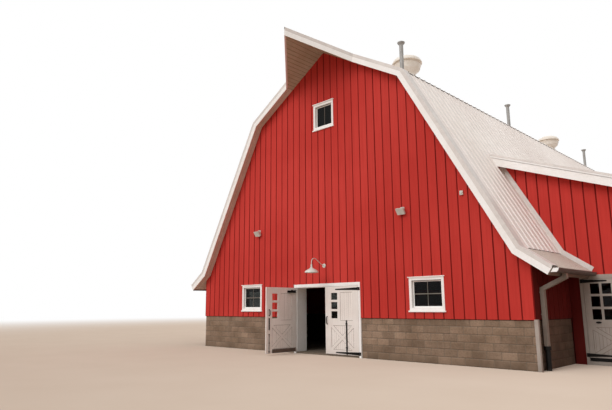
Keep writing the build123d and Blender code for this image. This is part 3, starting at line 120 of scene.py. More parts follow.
def grid(points: Array, shade: float | Array = 0.5, around: bool = False) -> Surface:
    """Quads over one or many grids of points.

    The face of a grid looks along its row step crossed with its column step.

    Args:
        points: Positions of shape (..., rows, columns, 3); the leading axes are copies.
        shade: One shade, or one for each copy.
        around: Whether the last column joins the first.

    Returns:
        The surface.
    """
    rows, columns = points.shape[-3:-1]
    copies = points.reshape(-1, rows, columns, 3)
    index = np.arange(rows * columns).reshape(rows, columns)
    if around:
        index = np.concatenate([index, index[:, :1]], axis=1)
    cell = np.stack([index[:-1, :-1], index[1:, :-1], index[1:, 1:], index[:-1, 1:]], axis=-1).reshape(-1, 4)
    quads = (cell[None] + np.arange(len(copies))[:, None, None] * rows * columns).reshape(-1, 4)
    shades = np.repeat(np.broadcast_to(np.asarray(shade, float).reshape(-1), len(copies)), len(cell))
    return Surface(copies.reshape(-1, 3), quads, shades)


def skin(x: Array, y: Array, z: Array, turn: bool = False) -> Surface:
    """A surface over one grid of points.

    Args:
        x: X of the points. The three broadcast to the grid.
        y: Their Y.
        z: Their Z.
        turn: Whether the columns run the other way, which turns its face round.

    Returns:
        The surface.
    """
    points = np.stack(np.broadcast_arrays(x, y, z), axis=-1)
    return grid(points[:, ::-1] if turn else points)


def facets(corners: Array, shades: float | Array = 0.5) -> Surface:
    """Loose quads from corners of shape (n, 4, 3)."""
    order = np.arange(4 * len(corners)).reshape(-1, 4)
    return Surface(corners.reshape(-1, 3), order, np.broadcast_to(np.asarray(shades, float), len(corners)))


def plane(origin: Triple, across: Triple, up: Triple) -> Array:
    """Matrix from local coordinates to the barn's: local z looks along across x up."""
    place = np.eye(4)
    place[:3, 0] = np.array(across) / np.linalg.norm(across)
    place[:3, 1] = np.array(up) / np.linalg.norm(up)
    place[:3, 2] = np.cross(place[:3, 0], place[:3, 1])
    place[:3, 3] = origin
    return place


def downhill(top: Array, foot: Array) -> tuple[Array, Array]:
    """Unit vectors (x, z) down a slope, and square to it: outwards on the right side of a roof."""
    way = (foot - top) / np.linalg.norm(foot - top)
    return way, np.array([-way[1], way[0]])


def bars(boxes: Array, edge: float = 0.003, shades: float | Array = 0.5) -> Surface:
    """Square bars with a chamfer on every edge, one for each box.

    A bar is a stack of six rings of eight points. A ring is the outline with its corners cut by the chamfer,
    drawn in next to the ends, and the first and last rings shrink to the middle, so the ends are closed.

    Args:
        boxes: Limits (x0, x1, y0, y1, z0, z1), of shape (n, 6).
        edge: Width of the chamfer.
        shades: One shade, or one for each bar.

    Returns:
        The closed bars.
    """
    boxes = np.atleast_2d(np.asarray(boxes, float))
    middle = (boxes[:, 1::2] + boxes[:, ::2]) / 2
    half = (boxes[:, 1::2] - boxes[:, ::2]) / 2
    cut = np.minimum(edge, 0.45 * half.min(axis=1))[:, None, None]
    signs = np.array([(1, -1), (1, 1), (1, 1), (-1, 1), (-1, 1), (-1, -1), (-1, -1), (1, -1)], float)
    drawn = np.array([(0, 1), (0, 1), (1, 0), (1, 0), (0, 1), (0, 1), (1, 0), (1, 0)], float)
    outline = signs * (half[:, None, :2] - drawn * cut)
    inner = signs * (half[:, None, :2] - cut)
    rings = np.stack([0 * outline, inner, outline, outline, inner, 0 * outline], axis=1)
    tall, drop = half[:, 2], cut[:, 0, 0]
    levels = np.stack([-tall, -tall, drop - tall, tall - drop, tall, tall], axis=1)
    heights = np.broadcast_to(levels[:, :, None, None], (*rings.shape[:3], 1))
    return grid(np.concatenate([rings, heights], axis=3) + middle[:, None, None, :], shades, around=True)


def turned(profile: Sequence[Pair], centre: Triple, steps: int = 40) -> Surface:
    """A turned surface: profile points (radius, height) carried round a vertical axis.

    At angle t a point stands at x = r cos t, y = -r sin t, so a profile that runs up faces outwards.

    Args:
        profile: Radius and height of each ring.
        centre: A point on the axis, from which heights count.
        steps: Points in one ring.

    Returns:
        The surface.
    """
    angle = np.linspace(0, 2 * np.pi, steps, endpoint=False)
    line = np.asarray(profile, float)
    ring = np.stack([np.cos(angle), -np.sin(angle), 0 * angle], axis=-1)
    points = line[:, None, :1] * ring + line[:, None, 1:] * np.array([0.0, 0.0, 1.0])
    return grid(points + np.array(centre), around=True)


def rod(path: Array, radius: float, steps: int = 10) -> Surface:
    """A closed round rod along a path.

    Its ring at a point of the path is radius (cos t a + sin t b), where a and b are square to the path there.

    Args:
        path: Points of shape (n, 3).
        radius: Radius of the rod.
        steps: Points in one ring.

    Returns:
        The closed rod.
    """
    path = np.asarray(path, float)
    along = np.gradient(path, axis=0)
    along /= np.linalg.norm(along, axis=1, keepdims=True)
    helper = np.array([0.0, 0.0, 1.0]) if np.abs(along[:, 2]).max() < 0.95 else np.array([0.31, 0.95, 0.05])
    a = np.cross(along, helper)
    a /= np.linalg.norm(a, axis=1, keepdims=True)
    b = np.cross(along, a)
    ends = np.r_[0, np.arange(len(path)), len(path) - 1]
    size = np.full(len(ends), radius)
    size[[0, -1]] = 0.0
    angle = np.linspace(0, 2 * np.pi, steps, endpoint=False)[None, :, None]
    ring = np.cos(angle) * a[ends, None] + np.sin(angle) * b[ends, None]
    return grid(path[ends, None] + size[:, None, None] * ring, around=True)


def heads(centres: Array, normal: Triple, radius: float = 0.011, height: float = 0.005) -> Surface:
    """Low crowned bolt heads on a face: four rings of six points that rise to a closed crown.

    Args:
        centres: Middle of each head on the face, of shape (n, 3).
        normal: Direction out of the face.
        radius: Radius of a head.
        height: How far it stands out.

    Returns:
        The heads, all alike.
    """
    out = np.array(normal, float) / np.linalg.norm(normal)
    a = np.cross(out, (0.0, 0.0, 1.0) if abs(out[2]) < 0.9 else (1.0, 0.0, 0.0))
    a /= np.linalg.norm(a)
    angle = np.linspace(0, 2 * np.pi, 6, endpoint=False)[:, None]
    ring = np.cos(angle) * a + np.sin(angle) * np.cross(out, a)
    profile = ((1, 0), (0.95, 0.6), (0.6, 1), (0, 1.05))
    head = np.stack([radius * r * ring + height * h * out for r, h in profile])
    return grid(head + np.atleast_2d(centres)[:, None, None, :], around=True)


def boards(span: Pair, low: Array, high: Array, holes: Sequence[Rect] = (), pitch: float = BOARD,
           start: float = 0.0, relief: Triple = (0.002, 0.014, 0.015), seed: int = 1) -> Surface:
    """Boards side by side on a wall, in its local coordinates: u across, v up and w out.

    The face is w(u) = groove depth within half a groove of a joint, board height elsewhere, with a short
    slope between. It is cut at every joint, kink and opening into upright strips, and each opening parts its
    strips. A board's faces share one random shade from 0 to 1, and a groove's have the shade GROOVE.

    Args:
        span: First and last u.
        low: Points (u, v) of the foot line.
        high: Points (u, v) of the top line.
        holes: Openings as (u0, u1, v0, v1).
        pitch: Face width of a board.
        start: A place where two boards meet.
        relief: Height in the groove, height on the board and half the width of the groove.
        seed: Seed of the shades.

    Returns:
        The faces, with the returns at the foot and at both ends.
    """
    low, high = np.asarray(low, float), np.asarray(high, float)
    floor, top, half = relief
    slope, near = 0.003, 1e-4
    first, last = np.floor((np.array(span) - start) / pitch).astype(int)
    joints = start + pitch * np.arange(first, last + 2)
    cuts = [joints + d for d in (-half - slope, -half, half, half + slope)]
    sides = np.array([hole[:2] for hole in holes]).reshape(-1)
    cuts = np.concatenate([*cuts, np.array(span), low[:, 0], high[:, 0], sides])
    cuts = np.unique(np.round(cuts[(cuts >= span[0] - 1e-9) & (cuts <= span[1] + 1e-9)], 5))

    def face_at(u: Array) -> Array:
        """Height of the face over the wall at u."""
        from_joint = np.abs(u - start - pitch * np.round((u - start) / pitch))
        return floor + (top - floor) * np.clip((from_joint - half) / slope, 0, 1)

    a, b = cuts[:-1], cuts[1:]
    levels = [np.interp(at, line[:, 0], line[:, 1]) for line in (low, high) for at in (a, b)]
    strips = np.stack([a, b, *levels], axis=1)
    for u0, u1, v0, v1 in holes:
        inside = (strips[:, 0] >= u0 - near) & (strips[:, 1] <= u1 + near)
        under, over = strips[inside].copy(), strips[inside].copy()
        under[:, 4:] = np.minimum(under[:, 4:], v0)
        over[:, 2:4] = np.maximum(over[:, 2:4], v1)
        strips = np.concatenate([strips[~inside], under, over])
    strips = strips[(strips[:, 4:] - strips[:, 2:4] > near).any(axis=1)]
    strips[:, 4:] = np.maximum(strips[:, 4:], strips[:, 2:4])
    a, b, low_a, low_b, high_a, high_b = strips.T
    face_a, face_b = face_at(a), face_at(b)
    board = np.floor(((a + b) / 2 - start) / pitch).astype(int) - first
    tones = np.random.default_rng(seed).random(len(joints) + 2)[board]
    shade = np.where((face_a + face_b) / 2 < (floor + top) / 2, GROOVE, tones)
    corners = [(a, low_a, face_a), (b, low_b, face_b), (b, high_b, face_b), (a, high_a, face_a)]
    face = np.stack([np.stack(corner, axis=1) for corner in corners], axis=1)
    flat = face * (1, 1, 0)
    foot = np.stack([flat[:, 0], flat[:, 1], face[:, 1], face[:, 0]], axis=1)
    left, right = np.abs(a - span[0]) < near, np.abs(b - span[1]) < near
    left_end = np.stack([flat[left, 0], face[left, 0], face[left, 3], flat[left, 3]], axis=1)
    right_end = np.stack([face[right, 1], flat[right, 1], flat[right, 2], face[right, 2]], axis=1)
    every = np.concatenate([face, foot, left_end, right_end])
    return facets(every, np.concatenate([shade, shade, shade[left], shade[right]]))


def piece(name: str, surface: Surface, finish: Material, body: str = "barn",
          closed: bool = False, smooth: bool = False) -> Object:
    """Makes a piece of a surface and lets it ride on a body.

    Args:
        name: Name of the piece.
        surface: Its points and quads.
        finish: Its material.
        body: The body that carries it.
        closed: Whether it is made of closed shells, which are merged and turned outwards.
        smooth: Whether it is shaded smooth, with edges over 35 degrees kept sharp.

    Returns:
        The object.
    """
    mesh = bpy.data.meshes.new(name)
    mesh.from_pydata(surface.points.tolist(), [], surface.quads.tolist())
    mesh.attributes.new("shade", "FLOAT", "FACE").data.foreach_set("value", surface.shades.astype(np.float32))
    if closed:
        work = bmesh.new()
        work.from_mesh(mesh)
        bmesh.ops.remove_doubles(work, verts=work.verts, dist=1e-5)
        bmesh.ops.recalc_face_normals(work, faces=work.faces)
        work.to_mesh(mesh)
        work.free()
    if smooth:
        mesh.polygons.foreach_set("use_smooth", [True] * len(mesh.polygons))
        mesh.set_sharp_from_angle(angle=math.radians(35))
    mesh.update()
    mesh.materials.append(finish)
    thing = linked(name, mesh)
    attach(thing, body)
    log.info("%s: %d faces on %s", name, len(mesh.polygons), body)
    return thing


def dress(finish: Material, *names: str) -> None:
    """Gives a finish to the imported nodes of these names."""
    for name in names:
        for place in bpy.data.objects[name].material_slots:
            place.material = finish


@dataclass(frozen=True)
class RoofLine:
    """Cross-section of the main roof, from the ridge down its right side."""

    wall_top: float = 2.62
    flare_run: float = 0.276
    overhang: float = 0.514
    knee_x: float = 3.3
    flare: float = math.radians(34.6)
    lower: float = math.radians(60.8)
    upper: float = math.radians(31.0)
    depth: float = 0.16

    def points(self, out: float) -> Array:
        """Ridge, knee, flare break and eave tip, this far outside the underside.

        Args:
            out: Distance from the underside of the roof.

        Returns:
            Points (x, z) of shape (4, 2). A kink moves along the bisector of its two pitches.
        """
        bend = np.array([HALF - self.flare_run, self.wall_top + self.flare_run * math.tan(self.flare)])
        knee = np.array([self.knee_x, bend[1] + (bend[0] - self.knee_x) * math.tan(self.lower)])
        ridge = knee[1] + self.knee_x * math.tan(self.upper) + out / math.cos(self.upper)
        tip = np.array([HALF + self.overhang, self.wall_top - self.overhang * math.tan(self.flare)])
        normal = {p: np.array([math.sin(p), math.cos(p)]) for p in (self.flare, self.lower, self.upper)}
        at_knee = normal[self.upper] + normal[self.lower]
        at_bend = normal[self.lower] + normal[self.flare]
        return np.array([
            (0.0, ridge),
            knee + out * at_knee / (1 + normal[self.upper] @ normal[self.lower]),
            bend + out * at_bend / (1 + normal[self.lower] @ normal[self.flare]),
            tip + out * normal[self.flare],
        ])

    @property
    def outer(self) -> Array:
        """The four points of the outer face."""
        return self.points(self.depth)

    def height(self, x: float | Array, out: float = 0.0) -> float | Array:
        """Height of the roof at x on either side, this far outside the underside."""
        line = self.points(out)
        return np.interp(np.abs(x), line[:, 0], line[:, 1])


ROOF = RoofLine()


@dataclass(frozen=True)
class WingLine:
    """Cross-section of the wing's roof, which falls to the right."""

    meets: Pair = (4.77444, 6.1)
    pitch: float = math.radians(20.3)
    depth: float = 0.16
    eave: float = WING_RIGHT + 0.28

    def height(self, x: float | Array, under: float = 0.0) -> float | Array:
        """Height at x, this far under its top."""
        return self.meets[1] - (x - self.meets[0]) * math.tan(self.pitch) - under / math.cos(self.pitch)


WING = WingLine()


def linear(colour: str) -> tuple[float, float, float, float]:
    """Linear RGBA of an sRGB hex value.

    Args:
        colour: Six hex digits.

    Returns:
        The colour as shader sockets take it.
    """
    parts = [int(colour[i:i + 2], 16) / 255 for i in (0, 2, 4)]
    red, green, blue = [c / 12.92 if c <= 0.04045 else ((c + 0.055) / 1.055) ** 2.4 for c in parts]
    return red, green, blue, 1.0


def add(tree: NodeTree, kind: str, sockets: dict[str | int, object],
        **settings: object) -> Node:
    """Adds a node with its settings, values and links.

    Args:
        tree: The tree that gets it.
        kind: Its type, without the leading ShaderNode.
        sockets: For each input, by name or number: a value, an output, or a node whose first output is used.
        settings: Its own properties.

    Returns:
        The node.
    """
    made = tree.nodes.new("ShaderNode" + kind)
    for key, value in settings.items():
        setattr(made, key, value)
    for key, value in sockets.items():
        if isinstance(value, Node):
            value = value.outputs[0]
        if isinstance(value, NodeSocket):
            tree.links.new(value, made.inputs[key])
        else:
            made.inputs[key].default_value = value
    return made


def blank(name: str) -> tuple[Material, NodeTree]:
    """A new material of this name, and its emptied node tree."""
    material = bpy.data.materials.new(name)
    material.use_nodes = True
    material.node_tree.nodes.clear()
    return material, material.node_tree


def linked(name: str, data: ID) -> Object:
    """A new object of this name and data, linked to the scene."""
    thing = bpy.data.objects.new(name, data)
    bpy.context.scene.collection.objects.link(thing)
    return thing


class Grain(Enum):
    """Direction in which a pattern is drawn out."""

    UPRIGHT = (1.0, 1.0, 0.04)
    ALONG_X = (0.04, 1.0, 1.0)
    ALONG_Y = (1.0, 0.04, 1.0)
    NONE = (1.0, 1.0, 1.0)


@dataclass(frozen=True)
class Finish:
    """A finish of up to three tones: a base, a second tone in soft patches, and dirt in streaks.

    Fine bump follows the grain. Sizes are the widths of the features in metres.
    """

    name: str
    base: str
    patch: str
    dirt: str
    roughness: float  # streaks move it up and down by its swing
    grain: Grain = Grain.NONE
    patch_size: float = 1.2
    streak_size: float = 0.08
    dirt_share: float = 0.25
    tint: float = 0.0  # how far the shade of a board or block moves its colour
    # where the shade is 2 the groove colour paints dirt and painted shade in board joints and rib valleys, and
    # painted shade alone in the doors' dark lines
    groove: str = ""  # colour where the shade is 2
    bump: float = 0.25
    bump_size: float = 0.02
    bump_depth: float = 0.002
    metallic: float = 0.0
    ior: float = 1.5
    specular: float = 0.3
    swing: float = 0.08
    coat: float = 0.0
    foot: Pair = (0.0, 0.0)  # splashed dirt: fades out between these heights
    foot_share: float = 0.0

    def make(self) -> Material:
        """Builds the material's nodes.

        The colour is the base under layers, each with a share that a pattern gives: patches, streaks of
        dirt and splashes near the foot. Then the shade of a face lightens or darkens it, or marks a groove.

        Returns:
            The material.
        """
        material, tree = blank(self.name)
        place = add(tree, "TexCoord", {}).outputs["Object"]
        drawn = add(tree, "Mapping", {"Vector": place, "Scale": self.grain.value})
        patches = add(tree, "TexNoise", {"Vector": place, "Scale": 1 / self.patch_size, "Detail": 3.0})
        streaks = add(tree, "TexNoise", {"Vector": drawn, "Scale": 1 / self.streak_size, "Detail": 5.0,
                                         "Roughness": 0.65})
        soft = add(tree, "MapRange", {"Value": patches, "From Min": 0.35, "From Max": 0.65})
        dirty = add(tree, "MapRange", {
            "Value": streaks, "From Min": 0.42, "From Max": 0.8, "To Max": self.dirt_share})
        layers = [(soft, self.patch), (dirty, self.dirt)]
        if self.foot_share:
            low, high = self.foot
            height = add(tree, "SeparateXYZ", {"Vector": place}).outputs["Z"]
            uneven = add(tree, "Math", {0: streaks, 1: high - low, 2: height}, operation="MULTIPLY_ADD")
            limits = {"From Min": high, "From Max": 0.7 * low + 0.3 * high, "To Max": self.foot_share}
            splash = add(tree, "MapRange", {"Value": uneven, **limits})
            layers.append((splash, self.dirt))
        colour = linear(self.base)
        for share, tone in layers:
            colour = add(tree, "Mix", {0: share, 6: colour, 7: linear(tone)}, data_type="RGBA").outputs[2]
        if self.tint or self.groove:
            shade = add(tree, "Attribute", {}, attribute_name="shade").outputs["Fac"]
            value = add(tree, "MapRange", {"Value": shade, "To Min": 1 - self.tint, "To Max": 1 + self.tint})
            colour = add(tree, "HueSaturation", {"Value": value, "Color": colour})
            if self.groove:
                deep = add(tree, "Math", {0: shade, 1: (1 + GROOVE) / 2}, operation="GREATER_THAN")
                sockets = {0: deep, 6: colour, 7: linear(self.groove)}
                colour = add(tree, "Mix", sockets, data_type="RGBA").outputs[2]
        dull, most = self.roughness - self.swing, min(1.0, self.roughness + self.swing)
        rough = add(tree, "MapRange", {"Value": streaks, "To Min": dull, "To Max": most})
        fine = add(tree, "TexNoise", {"Vector": drawn, "Scale": 1 / self.bump_size, "Detail": 4.0})
        relief = add(tree, "Bump", {"Height": fine, "Strength": self.bump, "Distance": self.bump_depth})
        shader = add(tree, "BsdfPrincipled", {
            "Base Color": colour, "Roughness": rough, "Normal": relief, "Metallic": self.metallic,
            "IOR": self.ior, "Specular IOR Level": self.specular, "Coat Weight": self.coat})
        add(tree, "OutputMaterial", {"Surface": shader})
        return material


@dataclass(frozen=True)
class Glass:
    """Float glass: smooth and tinted, with a slow waviness that bends what it mirrors."""

    name: str
    tint: str
    wave: float = 0.35  # width of one wave in metres
    wave_depth: float = 0.01
    ior: float = 1.2  # under real glass, so that the pale surroundings show in it as little as in the photo
    specular: float = 0.25

    def make(self) -> Material:
        """Builds the material's nodes.

        Returns:
            The material.
        """
        material, tree = blank(self.name)
        place = add(tree, "TexCoord", {}).outputs["Object"]
        waves = add(tree, "TexNoise", {"Vector": place, "Scale": 1 / self.wave, "Detail": 1.0})
        relief = add(tree, "Bump", {"Height": waves, "Strength": 0.1, "Distance": self.wave_depth})
        shader = add(tree, "BsdfPrincipled", {
            "Base Color": linear(self.tint), "Roughness": 0.0, "Transmission Weight": 1.0, "IOR": self.ior,
            "Specular IOR Level": self.specular, "Normal": relief})
        add(tree, "OutputMaterial", {"Surface": shader})
        return material


class Finishes:
    """Every material of the barn, made once."""

    def __init__(self) -> None:
        """Makes the materials."""
        # Oil paint on rough-sawn pine: matt, each board a little lighter or darker, and deep red in the joints
        # between boards: partly dirt, partly painted shade in the grooves.
        self.siding = Finish(
            "red_oil_paint_on_sawn_pine", "ce423b", "c23932", "96251f", 0.75, Grain.UPRIGHT, patch_size=2.5,
            streak_size=0.06, tint=0.03, groove="741613", bump=0.5, bump_size=0.012, specular=0.1,
            foot=(0.0, 0.9), foot_share=0.5).make()
        # The same paint under the eaves beside the wing: dull, darkened as painted shade.
        self.shaded_siding = Finish(
            "red_paint_with_painted_shade", "6c211d", "5c1916", "3d100e", 0.85, Grain.UPRIGHT,
            patch_size=1.5, streak_size=0.06, dirt_share=0.4, tint=0.04, groove="300807", bump=0.5,
            bump_size=0.012, specular=0.1).make()
        # Matt black for painted shadow: a thin line under the boards' foot, over the blocks, and the dark lines
        # round the windows.
        self.painted_shadow = Finish(
            "black_painted_shadow", "1b1a17", "24211d", "0f0e0c", 0.95, bump=0.4, specular=0.1).make()
        # Moulded concrete block: tan and brown pitted faces, no two quite alike.
        self.block = Finish(
            "moulded_concrete_block", "9c8470", "836d5a", "54463a", 0.92, patch_size=0.5, streak_size=0.05,
            dirt_share=0.5, tint=0.18, bump=0.9, bump_size=0.015, bump_depth=0.006, specular=0.15,
            foot=(0.0, 0.5), foot_share=0.4).make()
        # The same block along the long sides, under the eaves: darkened as painted shade.
        self.shaded_block = Finish(
            "concrete_block_with_painted_shade", "6d594b", "5c4a3e", "3b3028", 0.9, patch_size=0.5, streak_size=0.05,
            dirt_share=0.4, tint=0.15, bump=0.5, bump_size=0.012, specular=0.15).make()
        # Trowelled mortar and poured concrete: chalky grey, slightly darker where damp.
        self.mortar = Finish(
            "cast_concrete_and_mortar", "827466", "756859", "574c41", 0.95, patch_size=0.8, streak_size=0.03,
            bump=0.6, bump_size=0.01, bump_depth=0.003).make()
        # Roll-formed steel with baked paint: off-white, satin, rain-streaked down the slope.
        self.roof = Finish(
            "baked_paint_on_ribbed_steel", "f9f1ec", "f0e6e0", "cfc1b8", 0.42, Grain.ALONG_X, patch_size=3.0,
            streak_size=0.25, dirt_share=0.3, bump=0.08, bump_size=0.3, bump_depth=0.004, coat=0.1).make()
        # The same sheet on the flares, a little darker: dust and painted shade in the valleys and on the ribs'
        # flanks, so its ribs stand out.
        self.flare = Finish(
            "paint_with_dust_and_painted_shade_on_ribbed_steel", "efe4dc", "e2d5cb", "b8a99d", 0.6, Grain.ALONG_X, patch_size=1.5,
            streak_size=0.12, dirt_share=0.4, groove="ad9a8e", bump=0.08, bump_size=0.3,
            bump_depth=0.004).make()
        # Folded steel flashing with the same paint, greyer where water runs along it.
        self.flashing = Finish(
            "baked_paint_on_folded_steel", "e6dfda", "dcd4cf", "b9b0a8", 0.4, patch_size=0.9,
            streak_size=0.15, dirt_share=0.35, bump=0.1, bump_size=0.25, bump_depth=0.003, coat=0.1).make()
        # Black foam closure strip: dull, soft, swallows the light in the rib mouths.
        self.closure = Finish("black_foam_closure", "171311", "201a17", "0d0b0a", 0.95, bump=0.4).make()
        # Planed pine boards under white oil paint: satin, faintly streaked.
        self.trim = Finish(
            "white_oil_paint_on_planed_pine", "fefcfa", "f9f5f1", "d0c6bc", 0.5, patch_size=0.7,
            streak_size=0.05, dirt_share=0.2, bump=0.2).make()
        # The same paint under the rakes and eaves: never rinsed, a dusty beige.
        self.soffit = Finish(
            "dusty_paint_on_soffit_boards", "dccbbc", "cfbdad", "a08d7c", 0.7, patch_size=0.8,
            streak_size=0.06, dirt_share=0.3, tint=0.04, groove="8f7d6d", bump=0.2).make()
        # Paint on thin glazing bars: flaking, and greyed as painted shade, since such bars sit dim behind the
        # glass.
        self.bar_paint = Finish(
            "glazing_bar_paint_with_painted_shade", "8b8076", "7c7268", "5b5249", 0.7, patch_size=0.2,
            streak_size=0.02, bump=0.3, bump_size=0.01).make()
        # Door paint: a warm white, hand-marked and dusty towards the foot; its groove colour paints the shade
        # lines round the panels and beside the braces.
        self.door = Finish(
            "worn_white_paint_on_pine_doors", "f5eee8", "eee5de", "b7a89d", 0.5, Grain.UPRIGHT,
            patch_size=0.6, streak_size=0.03, tint=0.02, groove="8c7d72", bump=0.2, bump_size=0.01,
            foot=(0.0, 0.7), foot_share=0.4).make()
        # The same paint on the wing's door, its frame and the corner post, darkened as painted shade.
        self.wing_door = Finish(
            "door_paint_with_painted_shade", "b3a89f", "a89c92", "7b7067", 0.6, Grain.UPRIGHT,
            patch_size=0.6, streak_size=0.03, dirt_share=0.3, tint=0.02, groove="6d6259", bump=0.2,
            bump_size=0.01, foot=(0.0, 0.7), foot_share=0.4).make()
        # Eave boards: a dark tan that paints in the shade under the gutter: flat and weathered.
        self.tan = Finish(
            "eave_board_paint_with_painted_shade", "7a6c60", "6e6055", "4f443a", 0.7, Grain.ALONG_Y, patch_size=0.8,
            streak_size=0.05, bump=0.3).make()
        # Bronze-anodised aluminium kick plate: brown, dulled by boots.
        self.bronze = Finish(
            "scuffed_bronze_anodised_aluminium", "5d4c43", "6a584d", "8a786a", 0.55, patch_size=0.15,
            streak_size=0.02, dirt_share=0.3, bump=0.2).make()
        # Weathered beige paint on the hood's boards: flat, with faint joints.
        self.hood = Finish(
            "weathered_beige_paint_on_hood_boards", "c2b8a2", "b5aa93", "8b7f6b", 0.85, Grain.ALONG_Y,
            patch_size=0.6, streak_size=0.03, dirt_share=0.35, tint=0.03, groove="8f8470", bump=0.4,
            bump_size=0.01, specular=0.15).make()
        # Bare sawn pine indoors: dusty and dim.
        self.loft = Finish(
            "bare_sawn_pine", "8b7560", "7a6552", "4c3d31", 0.9, Grain.ALONG_X, patch_size=0.8,
            streak_size=0.04, dirt_share=0.5, tint=0.15, bump=0.5).make()
        # Spun steel with cream paint: smooth and satin, with streaks of dirt.
        self.spun = Finish(
            "cream_paint_on_spun_steel", "f2ebe2", "e9dfd3", "c6b29c", 0.38, patch_size=0.5, streak_size=0.1,
            dirt_share=0.4, bump=0.1, bump_size=0.1, coat=0.2).make()
        # Hot-dip galvanised steel: a dull grey bloom with little shine left.
        self.galvanised = Finish(
            "hot_dip_galvanised_steel", "aaa8a5", "9b9895", "75716d", 0.6, patch_size=0.15, streak_size=0.05,
            dirt_share=0.4, bump=0.15, metallic=0.4).make()
        # Roll-formed aluminium with brown baked paint: satin, with streaks of dust.
        self.gutter = Finish(
            "brown_paint_on_roll_formed_aluminium", "655852", "5a4e49", "433a36", 0.4, patch_size=0.6,
            streak_size=0.1, bump=0.08, bump_size=0.15, coat=0.15).make()
        # The same aluminium in a grey-tan paint.
        self.downspout = Finish(
            "tan_paint_on_roll_formed_aluminium", "8f8378", "84786e", "665b52", 0.42, patch_size=0.4,
            streak_size=0.06, bump=0.08, bump_size=0.1, coat=0.1).make()
        # Blow-moulded black polyethylene: waxy, with dried mud at the foot.
        self.drain = Finish(
            "blow_moulded_black_polyethylene", "121110", "191716", "4c433b", 0.5, patch_size=0.2,
            streak_size=0.03, dirt_share=0.15, bump=0.15, specular=0.2, foot=(0.0, 0.2),
            foot_share=0.4).make()
        # Forged iron under black paint: hammered flats, a low sheen on the edges.
        self.iron = Finish(
            "black_paint_on_forged_iron", "131110", "1a1716", "2c2521", 0.5, patch_size=0.1, streak_size=0.02,
            bump=0.5, bump_depth=0.0015, specular=0.15).make()
        # Vitreous enamel on spun steel: glassy white, slightly rippled.
        self.enamel = Finish(
            "vitreous_enamel_on_spun_steel", "dcded6", "d3d6cd", "a3a69c", 0.2, patch_size=0.1,
            streak_size=0.04, dirt_share=0.2, bump=0.1, bump_depth=0.0005, coat=0.6).make()
        # Opal glass: milky and smooth.
        self.opal = Finish(
            "blown_opal_glass", "efeadf", "e6e0d3", "cfc6b4", 0.15, patch_size=0.05, streak_size=0.03,
            dirt_share=0.1, bump=0.02, coat=0.5).make()
        # Float glass in the open leaf: clean, with the boards behind it showing.
        self.clear = Glass("clean_float_glass", "eceeec").make()
        # Float glass in the windows and closed doors: tinted dark grey, nearly black.
        self.glass = Glass("dark_tinted_float_glass", "6f716e").make()


